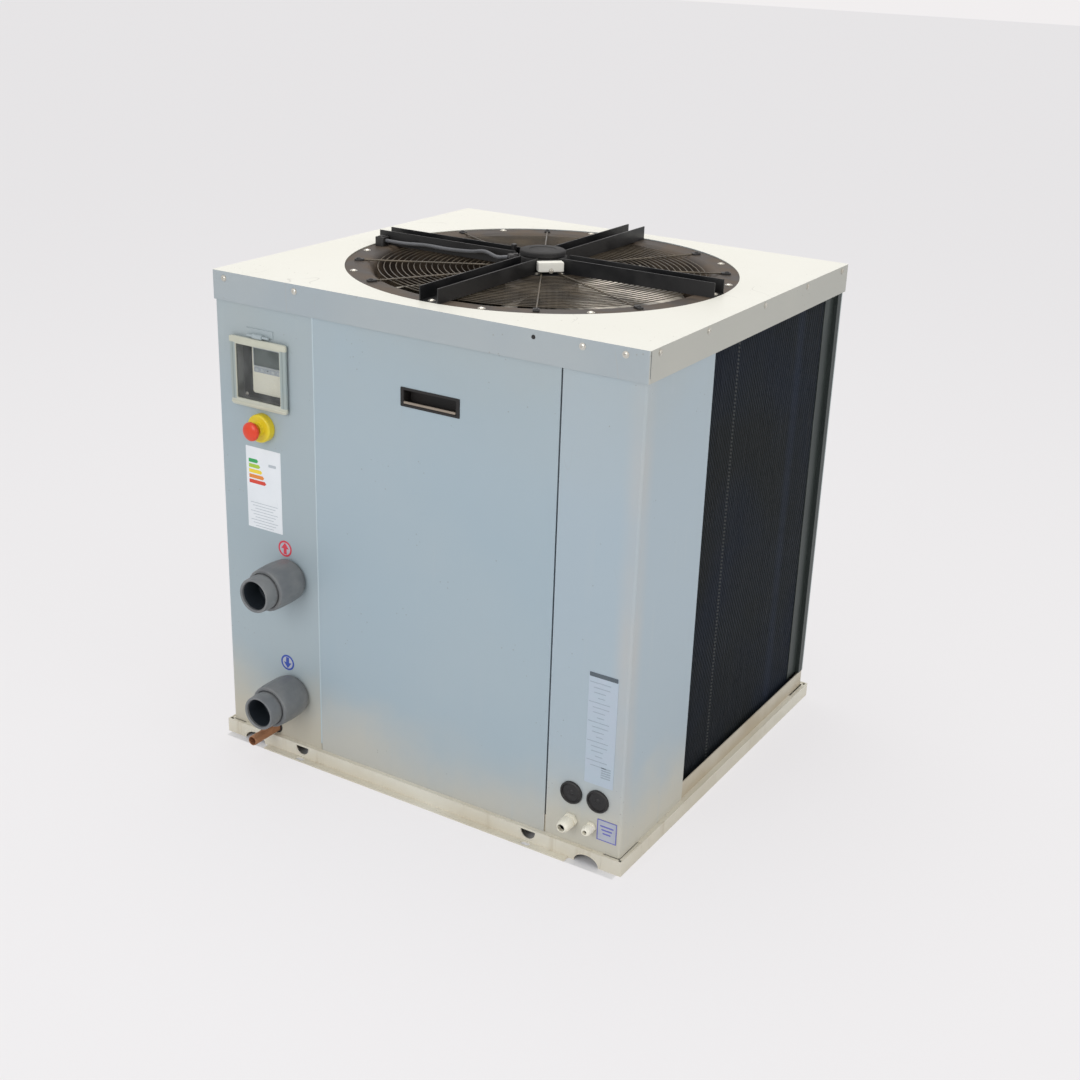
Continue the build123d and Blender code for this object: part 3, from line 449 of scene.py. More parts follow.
def waveMask(tree, vector, scale, turn=0.0):
    # Even stripes as a sine between 0 and 1.
    links = [("Vector", vector), ("Scale", scale), ("Distortion", 0.0)]
    return addNode(tree, "TexWave", links, wave_type="BANDS", bands_direction="DIAGONAL").outputs["Fac"]


def finMaterial(name, along, stitch):
    # Dark coated fins: a fine slanting weave, dust in patches and, on one coil, a pale stitched line.
    material, tree = newMaterial(name)
    weave = waveMask(tree, coordinates(tree, (1.0, 1.0, 0.62)), 62.0)
    tone = mixColour(tree, weave, hexColour("#26292B"), hexColour("#525A62"), 0.8)
    tone = mixColour(tree, effect(tree, "patches", Scale=2.2, Spread=0.12), tone, hexColour("#323C50"), 0.5)
    tone = mixColour(tree, effect(tree, "patches", Scale=3.4, Spread=0.10), tone, hexColour("#3A3C36"), 0.4)
    tone = mixColour(tree, effect(tree, "streaks", Width=26.0, Start=0.56), tone, hexColour("#4A4A46"), 0.3)
    if stitch is not None:
        place = addNode(tree, "SeparateXYZ", [(0, coordinates(tree))]).outputs[along]
        line = ramp(tree, math2(tree, "ABSOLUTE", math2(tree, "SUBTRACT", place, stitch)), 0.0070, 0.002)
        dashes = ramp(tree, waveMask(tree, coordinates(tree, (0.3, 0.3, 1.0)), 78.0), 0.35, 0.75)
        tone = mixColour(tree, math2(tree, "MULTIPLY", line, dashes), tone, hexColour("#9A9C98"), 0.42)
        band = ramp(tree, math2(tree, "ABSOLUTE", math2(tree, "SUBTRACT", place, 0.263)), 0.03, 0.004)
        tone = mixColour(tree, band, tone, hexColour("#5A6680"), 0.22)
    finishMaterial(tree, tone, 0.5, 0.35, effect(tree, "grain", Scale=260.0, Coarse=0.5), 0.0001)
    return material


def postMaterial(name):
    # Dark grey on the recessed flange, pale grey on the outer corner.
    material, tree = newMaterial(name)
    place = addNode(tree, "SeparateXYZ", [(0, coordinates(tree))]).outputs["Y"]
    corner = math2(tree, "GREATER_THAN", place, 0.4505)
    tone = mixColour(tree, corner, hexColour("#2B3230"), hexColour("#B9C1C1"))
    tone = mixColour(tree, effect(tree, "streaks", Width=30.0, Start=0.55), tone, hexColour("#6F7672"), 0.3)
    tone = mixColour(tree, effect(tree, "patches", Scale=7.0, Spread=0.2), tone, hexColour("#4C524C"), 0.15)
    finishMaterial(tree, tone, 0.46, bump=effect(tree, "grain", Scale=480.0, Coarse=1.6), bumpDepth=0.00005)
    return material


def frameMaterial(name):
    # Clear-edged cover frame: cream rails above and below, bluish see-through strips at the sides.
    material, tree = newMaterial(name)
    place = addNode(tree, "SeparateXYZ", [(0, coordinates(tree))])
    aside = math2(tree, "ABSOLUTE", math2(tree, "SUBTRACT", place.outputs["X"], -0.383))
    level = math2(tree, "ABSOLUTE", math2(tree, "SUBTRACT", place.outputs["Z"], 0.861))
    strip = math2(tree, "MULTIPLY", ramp(tree, aside, 0.0585, 0.0600), ramp(tree, level, 0.0610, 0.0590))
    tone = mixColour(tree, strip, hexColour("#C6C6B6"), hexColour("#9BA7A6"))
    line = ramp(tree, math2(tree, "ABSOLUTE", math2(tree, "SUBTRACT", aside, 0.0655)), 0.0022, 0.0008)
    tone = mixColour(tree, math2(tree, "MULTIPLY", line, strip), tone, hexColour("#73807F"), 0.7)
    tone = mixColour(tree, effect(tree, "patches", Scale=26.0, Spread=0.2), tone, hexColour("#A9AB9E"), 0.3)
    finishMaterial(tree, tone, 0.28, bump=effect(tree, "grain", Scale=700.0, Coarse=0.8), bumpDepth=0.00003)
    return material


def bladeMaterial(name):
    # Dull cast aluminium with near-white rays from the hub outwards as painted highlights, and darker near the hub.
    material, tree = newMaterial(name)
    place = addNode(tree, "SeparateXYZ", [(0, coordinates(tree))])
    x, y = place.outputs["X"], place.outputs["Y"]
    angle = math2(tree, "ARCTAN2", y, x)
    reach = math2(tree, "SQRT", math2(tree, "ADD", math2(tree, "MULTIPLY", x, x), math2(tree, "MULTIPLY", y, y)))
    polar = addNode(tree, "CombineXYZ", [("X", math2(tree, "MULTIPLY", angle, 3.0)), ("Y", math2(tree, "MULTIPLY", reach, 1.2))]).outputs[0]
    # The near-white rays are painted highlights of light across the blades.
    rays = noise(tree, polar, 2.6, 5.0, 0.6)
    tone = mixColour(tree, ramp(tree, rays, 0.40, 0.62), hexColour("#7A766E"), hexColour("#FBF1E2"))
    tone = mixColour(tree, ramp(tree, reach, 0.15, 0.07), tone, hexColour("#1D1B18"), 0.8)
    tone = mixColour(tree, effect(tree, "specks", Scale=110.0, Size=0.15, Rarity=0.55), tone, hexColour("#3A2A1E"), 0.6)
    finishMaterial(tree, tone, 0.34, 0.25, effect(tree, "grain", Scale=240.0, Coarse=0.8), 0.00012)
    return material


def paneMaterial(name):
    # Thin clear sheet: mostly see-through, with a little haze in smeared patches.
    material, tree = newMaterial(name)
    cover = math2(tree, "MULTIPLY_ADD", effect(tree, "patches", Scale=26.0, Spread=0.2), 0.04)
    cover.node.inputs[2].default_value = 0.04
    finishMaterial(tree, (0.78, 0.80, 0.77), 0.10, 0.0, effect(tree, "grain", Scale=60.0, Coarse=1.0), 0.00003, IOR=1.45)
    tree.links.new(cover, tree.nodes["Principled BSDF"].inputs["Alpha"])
    return material


finishes = {
    "cabinet": paintedSheet("cabinetPaint", "#A1AFB5", "#C3BCAA", 0.95, "#AEB7B8", 0.3, (0.04, 0.26)),
    # The right panel's last value lays a painted warm light along its bend to the front.
    "cabinetRight": paintedSheet("cabinetRightPaint", "#A6B5BE", "#C6C1B2", 0.95, "#B0BABE", 0.25, (0.05, 0.24), 0.42, (0.455, 0.49, "#BDB9B3")),
    "door": paintedSheet("doorPaint", "#A1B2BB", "#C0BDB2", 0.9, "#ADB8BC", 0.2, (0.02, 0.22)),
    "lid": lidLitAndShaded("lidPaintLitAndShaded", "#E5E3D9", "#A4ADB1", "#B4B3AA", "#D2CDBE"),
    "lidSeam": moulded("lidSeam", "#6A7275", "#7C8386", 0.5, 0.4),
    "seamLight": moulded("seamLight", "#BCC9CE", "#B2BEC2", 0.4, 0.4),
    "base": paintedSheet("basePaint", "#E6E2D4", "#CDC2AA", 0.6, "#BFB39B", 0.5, (-0.06, 0.05), 0.5),
    "pan": paintedSheet("panPaint", "#CFC9BA", "#B4A68C", 0.8, "#BBAE96", 0.4, (0.02, 0.09), 0.5),
    "post": postMaterial("postPaint"),
    "galvanised": plainMetal("galvanisedSheet", "#8E9393", "#6F7474", 0.8, 0.38, 0.7),
    "fins": finMaterial("coatedFins", "Y", None),
    "finsRight": finMaterial("coatedFinsRight", "Y", -0.0495),
    "fanBlack": plainMetal("fanBlack", "#101113", "#211F1D", 0.0, 0.34, 0.4),
    "capBlack": plainMetal("capBlack", "#0C0C0D", "#1C1A18", 0.0, 0.62, 0.4, 240.0, 0.00008),
    "guardWire": plainMetal("guardWire", "#4B443A", "#7A6E5C", 0.35, 0.3, 0.5),
    "shroud": plainMetal("shroudBrown", "#2E261E", "#57493A", 0.1, 0.5, 0.7),
    "blade": bladeMaterial("castBladesPaintedRays"),
    "steel": plainMetal("zincedScrew", "#D6D3CA", "#A39C8D", 0.85, 0.28, 0.35),
    "cable": moulded("cableSheath", "#5E5F62", "#3F3F40", 0.5),
    "pvc": moulded("pipePlastic", "#6E7072", "#878785", 0.46, 0.6),
    # Dark painted shade for the inside of the pipe sockets.
    "pvcBore": moulded("boreLiningShade", "#2A3138", "#20252A", 0.55, 0.5),
    "black": moulded("blackMoulding", "#171616", "#282422", 0.46),
    # Near-black painted shade for the inside of open holes.
    "holeShade": moulded("holeShade", "#0B0A09", "#14110E", 0.8, 0.3, Specular_IOR_Level=0.1),
    "recess": moulded("recessMoulding", "#0F0D0C", "#241B14", 0.62),
    "cream": moulded("creamMoulding", "#C6C3B2", "#A7A492", 0.38, 0.4),
    "coverFrame": frameMaterial("coverFrame"),
    "coverBand": moulded("coverBand", "#C9C8B6", "#B4B3A0", 0.34, 0.3),
    # The controller tray's dark grey-brown is painted shade in the sunk recess.
    "tray": moulded("trayShade", "#50524A", "#3A3830", 0.6, 0.5, Specular_IOR_Level=0.2),
    "padKey": moulded("keypadKey", "#A3A9AA", "#8F9596", 0.4, 0.3),
    "pad": moulded("keypadCream", "#D2CFBC", "#BDB9A5", 0.4, 0.3),
    "padGrey": moulded("keypadGrey", "#8F969A", "#7C8286", 0.4, 0.3),
    "screen": moulded("darkScreen", "#37423F", "#2A3331", 0.5, 0.3, Specular_IOR_Level=0.15),
    "segment": moulded("screenMarks", "#25302D", "#222B29", 0.3, 0.3),
    "yellow": moulded("stopYellow", "#E9D22B", "#C9A91F", 0.34, 0.3),
    "red": moulded("stopRed", "#E2411F", "#C2331A", 0.3, 0.3),
    "copper": plainMetal("copperTube", "#BC8A68", "#8A5E40", 0.55, 0.42, 0.6),
    "glandCream": moulded("glandNylon", "#F4EFDF", "#DCD4BE", 0.36, 0.3),
    "clear": paneMaterial("clearPane"),
    "terminal": moulded("terminalWhite", "#F1EFE6", "#D8D3C2", 0.4, 0.3),
    "paper": moulded("labelWhite", "#E9ECEE", "#D9DDE0", 0.42, 0.3),
    "silverLabel": moulded("labelSilver", "#B3C0CA", "#B9BFCC", 0.36, 0.5),
    "inkDark": moulded("inkDark", "#525C63", "#5F686E", 0.5, 0.3),
    "inkPale": moulded("inkPale", "#B9BFC4", "#ADB4B9", 0.5, 0.3),
    "inkSilver": moulded("inkSilver", "#98A4AD", "#A3AEB6", 0.5, 0.5),
    # A pale brown painted highlight for the handle recess lip.
    "lipHighlight": moulded("lipHighlight", "#9A8D7E", "#7F7264", 0.4, 0.4),
    "violetPale": moulded("violetPale", "#B6B9C2", "#A3A6B2", 0.45, 0.5),
    "inkRed": moulded("inkRed", "#D6384B", "#C93044", 0.45, 0.3),
    "inkBlue": moulded("inkBlue", "#2A4AA8", "#263F90", 0.45, 0.3),
    "inkViolet": moulded("inkViolet", "#6C6CB8", "#6262A6", 0.45, 0.3),
    "barGreen": moulded("barGreen", "#2FA45A", "#2B9651", 0.45, 0.2),
    "barLime": moulded("barLime", "#A9C93C", "#9DBB36", 0.45, 0.2),
    "barYellow": moulded("barYellow", "#F0D23A", "#E0C333", 0.45, 0.2),
    "barOrange": moulded("barOrange", "#E58A3A", "#D67E33", 0.45, 0.2),
    "barRed": moulded("barRed", "#D8452F", "#C93F2B", 0.45, 0.2),
}
nodeFinish = {
    "foot_front_left": "base", "foot_front_right": "base", "foot_rear_left": "base", "foot_rear_right": "base",
    "front_rail": "base", "rear_rail": "base", "side_rails": "base", "drain_pan": "pan",
    "left_corner_panel": "cabinet", "right_corner_panel": "cabinetRight", "service_door": "door",
    "handle_recess": "recess", "rear_post_left": "post", "rear_post_right": "post", "bulkhead": "galvanised",
    "coil_left": "fins", "coil_right": "fins", "coil_rear": "fins", "lid": "lid", "fan_shroud": "shroud",
    "fan_guard": "guardWire", "fan_arm_front": "fanBlack", "fan_arm_right": "fanBlack",
    "fan_arm_rear": "fanBlack", "fan_arm_left": "fanBlack", "fan_motor": "fanBlack",
    "terminal_box": "terminal", "motor_cable": "cable", "cable_fittings": "black", "impeller": "blade",
    "controller_box": "tray", "control_pad": "pad", "control_screen": "screen",
    "controller_cover": "coverFrame", "cover_pane": "clear", "cover_hinge": "cabinet",
    "estop_collar": "yellow", "estop_button": "red", "water_outlet_socket": "pvc",
    "water_outlet_nut": "pvc", "water_inlet_socket": "pvc", "water_inlet_nut": "pvc",
    "drain_stub": "copper", "blank_plugs": "black", "cable_glands": "glandCream",
}
for nodeName, finishName in nodeFinish.items():
    for socket in nodes[nodeName].material_slots:
        socket.material = finishes[finishName]
print("finishes made:", len(finishes))


# Fastenings
screwSize = {"head": 0.0048, "height": 0.0026, "washer": 0.0068}


def panScrew(size=1.0):
    # A washer, a rounded pan head and a round driver recess.
    r, h, w = (screwSize[key] * size for key in ("head", "height", "washer"))
    profile = [(w, 0), (w, 0.28 * h), (r, 0.30 * h), (r, 0.62 * h), (0.8 * r, 0.88 * h), (0.5 * r, h)]
    return turned(profile + [(0.42 * r, h), (0.34 * r, 0.6 * h)], 20)


def screwsOn(side, spots, size=1.0):
    return joined(*[placed(panScrew(size), spot, side) for spot in spots])


lid = {"front": -0.460, "side": 0.503, "screwHeight": 1.046, "sideHeight": 1.050}
frontScrews = (-0.471, -0.288, 0.368, 0.455)
sideScrews = (-0.423, -0.232, 0.02, 0.232, 0.423)
lidScrews = joined(
    screwsOn("front", [(x, lid["front"], lid["screwHeight"]) for x in frontScrews]),
    screwsOn("rear", [(x, -lid["front"], lid["screwHeight"]) for x in (-0.455, -0.15, 0.15, 0.455)]),
    screwsOn("right", [(lid["side"], y, lid["sideHeight"]) for y in sideScrews]),
    screwsOn("left", [(-lid["side"], y, lid["sideHeight"]) for y in sideScrews]),
)
addPiece("lidScrews", lidScrews, finishes["steel"])
# A black dish in the empty screw hole: painted shade inside the open hole.
holeShadeDish = turned([(0.0042, 0), (0.0042, 0.0004), (0.0034, 0.0006), (0.0031, 0.0003)], 20)
addPiece("emptyScrewHoleShade", placed(holeShadeDish, (0.266, lid["front"], 1.046)), finishes["black"])
postScrews = screwsOn("rear", [(x, 0.457, z) for x in (-0.488, 0.488) for z in (0.12, 0.42, 0.72, 0.96)], 0.8)
addPiece("postScrews", postScrews, finishes["steel"])


# Finned coils: thin upright plates, a little combed and bent, over copper tubes and a dark core.
coil = {"pitch": 0.003, "fin": 0.00042, "depth": 0.009, "tubePitch": 0.0254, "tube": 0.0048, "bend": 0.00055}
chance = np.random.default_rng(7)


def finBlock(name, node, side, outer, finish):
    low, high = (np.array(corner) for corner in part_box(node))
    axes = np.array(sides[side], float)
    along = axes[0] @ low, axes[0] @ high
    start, end = min(along) + 0.002, max(along) - 0.002
    bottom, top = low[2], high[2]
    count = int((end - start) / coil["pitch"])
    at = np.linspace(start, end, count)
    heights = np.linspace(bottom, top, 11)
    sway = chance.normal(0, coil["bend"], (count, 11)) * np.array([0, 1, 1, 1, 1, 1, 1, 1, 1, 1, 0])
    corners = np.array([(-1, 0), (1, 0), (1, 1), (-1, 1)])
    half = coil["fin"] / 2
    x = at[:, None, None] + (sway[:, :, None] * (1 - corners[:, 1])) + half * corners[:, 0]
    z = np.broadcast_to(heights[None, :, None], x.shape)
    out = np.broadcast_to(outer - coil["depth"] * corners[:, 1], x.shape)
    points = np.stack([x, z, out], -1)
    one = gridFaces(11, 4, closeColumns=True)
    ends = np.array([[0, 1, 2, 3], [40, 41, 42, 43]])
    faces = (np.concatenate([one, ends])[None] + 44 * np.arange(count)[:, None, None]).reshape(-1, 4)
    fins = (points.reshape(-1, 3) @ axes, [faces])
    rows = np.arange(bottom + 0.02, top - 0.01, coil["tubePitch"])
    profile = [(coil["tube"], start), (coil["tube"], end)]
    pipes = []
    for row in rows:
        pipe = turned(profile, 8)
        turnedOver = np.stack([pipe[0][:, 2], pipe[0][:, 0] + row, pipe[0][:, 1] + outer - 0.0075], -1)
        pipes.append((turnedOver @ axes, pipe[1]))
    inner = max(axes[2] @ low, axes[2] @ high) - 0.038
    core = stacked([(end - start, top - bottom, 0.001, inner), (end - start, top - bottom, 0.001, outer - 0.011)])
    centre = (start + end) / 2 * axes[0] + (bottom + top) / 2 * axes[1]
    addPiece(name + "Fins", fins, finish, stands=(node,))
    addPiece(name + "Tubes", joined(*pipes), finishes["copper"])
    addPiece(name + "Core", (core[0] @ axes + centre, core[1]), finishes["black"])


finBlock("rightCoil", "coil_right", "right", 0.486, finishes["finsRight"])
finBlock("leftCoil", "coil_left", "left", 0.486, finishes["fins"])
finBlock("rearCoil", "coil_rear", "rear", 0.443, finishes["fins"])
print("coils made")


# Fan unit: shroud, guard, motor, cable and impeller
fan = {
    "opening": 0.413, "flange": 0.428, "bell": 0.372, "throat": 0.352, "sheet": 0.0025,
    "flangeTop": 1.058, "bottom": 0.928, "flare": 0.364, "wire": 0.0010, "firstRing": 0.082,
    "ringPitch": 0.0125, "rings": 22, "ringLift": 1.0562, "spoke": 0.0017, "spokeLift": 1.0594, "reach": 0.390,
}


def shroudShape():
    # The bell mouth: flat flange, a quarter round down into the throat and a flare, with one sheet's thickness.
    t = np.linspace(0, math.pi / 2, 10)
    bell, throat, sheet, top = fan["bell"], fan["throat"], fan["sheet"], fan["flangeTop"]
    round1 = bell - throat
    inner = [(bell - round1 * math.sin(a), top - round1 + round1 * math.cos(a)) for a in t]
    outer = [(bell - (round1 - sheet) * math.sin(a), top - round1 + (round1 - sheet) * math.cos(a)) for a in t]
    bottom, flare = fan["bottom"], fan["flare"]
    profile = [(fan["flange"], top)] + inner + [(throat, bottom + 0.012), (flare, bottom)]
    profile += [(flare + sheet, bottom), (throat + sheet, bottom + 0.0125)] + outer[::-1]
    return turned(profile + [(fan["flange"], top - sheet)], 128, ring=True)


addPiece("bellMouth", shroudShape(), finishes["shroud"], stands=("fan_shroud",))


def ringWire(radius, lift, wire, turns=72):
    angle = np.linspace(0, 2 * math.pi, turns, endpoint=False)
    path = np.stack([radius * np.cos(angle), radius * np.sin(angle), np.full(turns, lift)], -1)
    return tube(path, wire, 6, closed=True)


def guardShape():
    # Welded wire rings with eight spokes over them, each spoke's end bent down to the flange.
    rings = [ringWire(fan["firstRing"] + k * fan["ringPitch"], fan["ringLift"], fan["wire"]) for k in range(fan["rings"])]
    lift, reach, low = fan["spokeLift"], fan["reach"], fan["flangeTop"] + fan["spoke"]
    bend = [(0.072, lift), (0.15, lift), (0.25, lift), (0.340, lift), (0.356, lift - 0.0002), (0.366, low), (reach, low)]
    path = smoothPath([(r, 0, z) for r, z in bend], 25)
    spokes = [spun(tube(path, fan["spoke"], 8), angle) for angle in range(0, 360, 30) if angle % 90]
    return joined(*rings, *spokes)


addPiece("guardWires", guardShape(), finishes["guardWire"], stands=("fan_guard",))
clip = joined(
    placed(softSlab(0.020, 0.013, 0.0042, 0.003, 0.0012), (0.386, 0, fan["flangeTop"]), "top"),
    placed(panScrew(0.8), (0.388, 0, fan["flangeTop"] + 0.0042), "top"),
)
clipAngles = [angle for angle in range(0, 360, 30) if angle % 90]
addPiece("guardClips", joined(*[spun(clip, angle) for angle in clipAngles]), finishes["black"])
bright = [placed(panScrew(1.15), (0.397, 0, fan["flangeTop"]), "top"), placed(panScrew(1.1), (0.400, 0, 1.0605), "top")]
flangeScrews = [spun(bright[0], angle) for angle in (45, 135, 225, 315, 15, 105, 195, 285)]
armScrews = [spun(bright[1], angle) for angle in (0, 90, 180, 270)]
addPiece("flangeScrews", joined(*flangeScrews, *armScrews), finishes["steel"])

motor = {"radius": 0.052, "bottom": 1.036, "top": 1.0855, "plate": 0.076, "cap": 0.0485, "capTop": 1.0965}


def motorShape():
    # Can with two shallow grooves, mounting plate, a soft-edged rain cap and the shaft below.
    r, low, top, cap, end = (motor[key] for key in ("radius", "bottom", "top", "cap", "capTop"))
    ease = [(cap - 0.004 * (1 - math.cos(a)), end - 0.004 + 0.004 * math.sin(a)) for a in np.linspace(0, 1.5, 5)]
    profile = [(0.0119, 0.972), (0.0119, low), (r - 0.002, low), (r, low + 0.002), (r, 1.0555)]
    profile += [(motor["plate"], 1.0555), (motor["plate"], 1.058), (r, 1.058), (r, 1.066), (r - 0.0015, 1.067)]
    profile += [(r - 0.0015, 1.0695), (r, 1.0705), (r, top - 0.004), (r - 0.001, top - 0.002), (cap - 0.002, top)]
    profile += [(cap, top + 0.0015)] + ease + [(0.030, end), (0.0285, end - 0.0012), (0.010, end - 0.0012)]
    return turned(profile, 72)


addPiece("fanMotor", motorShape(), finishes["capBlack"], stands=("fan_motor",))
plateScrews = [placed(panScrew(1.0), (0.066, 0, 1.058), "top")]
plateScrews = [spun(plateScrews[0], angle) for angle in (22, 68, 112, 158, 202, 248, 292, 338)]
addPiece("motorPlateScrews", joined(*plateScrews), finishes["steel"])
terminal = joined(
    placed(softSlab(0.054, 0.020, 0.018, 0.002, 0.0015), (0.060, 0, 1.0746), "right"),
    placed(softSlab(0.036, 0.016, 0.014, 0.002, 0.001), (0.050, 0, 1.0746), "right"),
    placed(softSlab(0.050, 0.0012, 0.0004, 0.0004, 0.0001), (0.078, 0, 1.0700), "right"),
)
addPiece("terminalCover", spun(terminal, -45), finishes["terminal"], stands=("terminal_box",))
terminalScrew = spun(placed(panScrew(0.75), (0.078, 0.0, 1.0672), "right"), -45)
addPiece("terminalScrew", terminalScrew, finishes["steel"])

cable = {
    "radius": 0.004,
    "route": [
        (-0.0609, -0.0426, 1.078), (-0.0789, -0.0552, 1.078), (-0.118, -0.043, 1.082), (-0.165, -0.030, 1.074),
        (-0.222, -0.029, 1.071), (-0.278, -0.031, 1.072), (-0.332, -0.038, 1.070), (-0.381, -0.038, 1.070),
    ],
}
addPiece("motorCable", tube(smoothPath(cable["route"], 90), cable["radius"], 14), finishes["cable"], stands=("motor_cable",))
nut = turned([(0.0092, 0), (0.0098, 0.001), (0.0098, 0.008), (0.0092, 0.009)], 6)
dome = [(0.0079, 0.009), (0.0079, 0.0165), (0.0074, 0.019), (0.0062, 0.0212), (0.0045, 0.0222)]
gland = joined(nut, turned(dome, 30, lobes=10, lobeDepth=0.0002))
gland = spun(placed(gland, (0.0521, 0, 1.078), "right"), -145)
block = placed(softSlab(0.022, 0.024, 0.020, 0.003, 0.0015), (-0.392, -0.038, 1.058), "top")
saddle = placed(softSlab(0.012, 0.018, 0.0016, 0.002, 0.0006), (-0.392, -0.038, 1.078), "top")
addPiece("cableFittings", joined(gland, block, saddle), finishes["black"], stands=("cable_fittings",))

blades = {"count": 5, "first": 40, "root": 0.074, "tip": 0.343, "centre": 0.983, "thick": 0.0036, "camber": 0.007}


def bladeGrid(angle):
    # One blade: radius runs from hub to tip; chord, pitch and sweep follow smooth curves; camber is a parabola.
    s = np.linspace(0, 1, 26)[:, None]
    t = np.linspace(-1, 1, 17)[None, :]
    radius = blades["root"] + (blades["tip"] - blades["root"]) * s
    chord = 0.116 + 0.142 * s - 0.022 * s**2
    pitch = np.radians(36 - 28 * s + 9 * s**2)
    sweep = np.radians(angle + 14 * s + 10 * s**2)
    rounded = np.sqrt(np.clip(1 - np.abs(t) ** 7, 0, 1))
    run = 0.5 * chord * t * (1 - 0.10 * np.abs(t) * s**8)
    turn = sweep + run * np.cos(pitch) / radius
    rise = blades["centre"] + run * np.sin(pitch) + blades["camber"] * (1 - t**2)
    halfThick = 0.5 * blades["thick"] * (rounded + 0.08)
    layers = [np.stack([radius * np.cos(turn), radius * np.sin(turn), rise + k * halfThick], -1) for k in (1, -1)]
    loop = np.concatenate([layers[0], layers[1][:, ::-1]], 1)
    return gridShape(loop, closeColumns=True, caps=("first", "last"))


def hubShape():
    # A cup with an eased rim, a raised boss and a shallow ring on its top face.
    t = np.linspace(0, math.pi / 2, 6)
    rim = [(0.070 + 0.008 * math.cos(a), 1.022 + 0.008 * math.sin(a)) for a in t]
    profile = [(0.072, 0.936), (0.078, 0.936), (0.078, 1.022)] + rim
    profile += [(0.058, 1.030), (0.056, 1.0275), (0.036, 1.0275), (0.034, 1.030), (0.0123, 1.030)]
    profile += [(0.0123, 0.936), (0.026, 0.936), (0.026, 0.996), (0.072, 0.996)]
    return turned(profile, 72, ring=True)


impeller = joined(hubShape(), *[bladeGrid(blades["first"] + k * 360 / blades["count"]) for k in range(blades["count"])])
addPiece("impellerBlades", impeller, finishes["blade"], body="fan", stands=("impeller",), crease=50)
print("fan unit made")


# Front fittings
front = -0.457
controller = {"x": -0.383, "z": 0.861, "sink": 0.020, "padX": -0.371, "padZ": 0.865, "screenX": -0.370, "screenZ": 0.893, "face": -0.0062}


def frontSpot(x, z, out=0.0):
    return (x, front - out, z)


padPlate = softSlab(0.084, 0.100, 0.011, 0.006, 0.003)
addPiece("keypad", placed(padPlate, frontSpot(controller["padX"], controller["padZ"], 0.003 - controller["sink"])), finishes["pad"], stands=("control_pad",))
face = controller["face"]
bezel = stacked([(0.0755, 0.040, 0.003, 0.0), (0.0755, 0.040, 0.003, 0.0010), (0.0745, 0.039, 0.002, 0.0014), (0.0715, 0.036, 0.001, 0.0014),
                 (0.0715, 0.036, 0.001, 0.0)], ring=True)
screenSpot = frontSpot(controller["screenX"], controller["screenZ"], face)
addPiece("screenBezel", placed(bezel, screenSpot), finishes["padGrey"])
glass = softSlab(0.0715, 0.036, 0.0011, 0.001, 0.0004)
addPiece("screenGlass", placed(glass, screenSpot), finishes["screen"], stands=("control_screen",))
strip = softSlab(0.0745, 0.0115, 0.0006, 0.002, 0.0002)
addPiece("keypadStrip", placed(strip, frontSpot(controller["screenX"], 0.8665, face)), finishes["padGrey"])
keyRow = [placed(softSlab(0.0086, 0.0050, 0.0010, 0.002, 0.0004), frontSpot(controller["screenX"] + k * 0.0145, 0.8665, face + 0.0005)) for k in (-2, -1, 0, 1, 2)]
addPiece("keypadKeys", joined(*keyRow), finishes["padKey"])
addPiece("keypadDot", placed(softSlab(0.0052, 0.0036, 0.0006, 0.0016, 0.0002), frontSpot(controller["screenX"], 0.8672, face + 0.0014)), finishes["inkDark"])
trayScrews = [(x, front + controller["sink"] - 0.003, z) for x in (-0.4385, -0.3285) for z in (0.8055, 0.9165)]
addPiece("trayScrews", screwsOn("front", trayScrews, 0.6), finishes["steel"])
trayRim, wall = 0.130, 0.003
tray = [(trayRim, trayRim, 0.006, -0.020), (trayRim, trayRim, 0.006, 0.0012), (trayRim - 0.0012, trayRim - 0.0012, 0.0055, 0.002),
        (trayRim - 2 * wall, trayRim - 2 * wall, 0.003, 0.002), (trayRim - 2 * wall, trayRim - 2 * wall, 0.003, -0.017)]
floorPlate = stacked([(trayRim - 2 * wall + 0.0006, trayRim - 2 * wall + 0.0006, 0.003, -0.020), (trayRim - 2 * wall + 0.0006, trayRim - 2 * wall + 0.0006, 0.003, -0.017)])
traySpot = frontSpot(controller["x"], controller["z"])
addPiece("controllerTray", placed(joined(stacked(tray), floorPlate), traySpot), finishes["tray"], stands=("controller_box",))

hood = [(0.146, 0.145, 0.006, 0.005), (0.147, 0.146, 0.006, 0.0085), (0.146, 0.145, 0.006, 0.0100), (0.143, 0.142, 0.005, 0.0110), (0.1165, 0.1155, 0.003, 0.0110),
        (0.1150, 0.1140, 0.002, 0.0104), (0.1145, 0.1135, 0.002, 0.0088), (0.140, 0.140, 0.003, 0.0086), (0.140, 0.140, 0.003, 0.005)]
hoodShape = placed(stacked(hood, ring=True), traySpot)
addPiece("coverHood", hoodShape, finishes["coverFrame"], body="cover", stands=("controller_cover",))
topBar = placed(softSlab(0.149, 0.0130, 0.0052, 0.003, 0.0020), frontSpot(controller["x"], 0.9262, 0.0064))
lowBar = placed(softSlab(0.146, 0.0042, 0.0016, 0.002, 0.0008), frontSpot(controller["x"], 0.7945, 0.0102))
addPiece("coverRails", joined(topBar, lowBar), finishes["coverBand"], body="cover")
pane = placed(softSlab(0.126, 0.114, 0.0015, 0.002, 0.0004), frontSpot(controller["x"], controller["z"], 0.007))
addPiece("coverPane", pane, finishes["clear"], body="cover", stands=("cover_pane",))

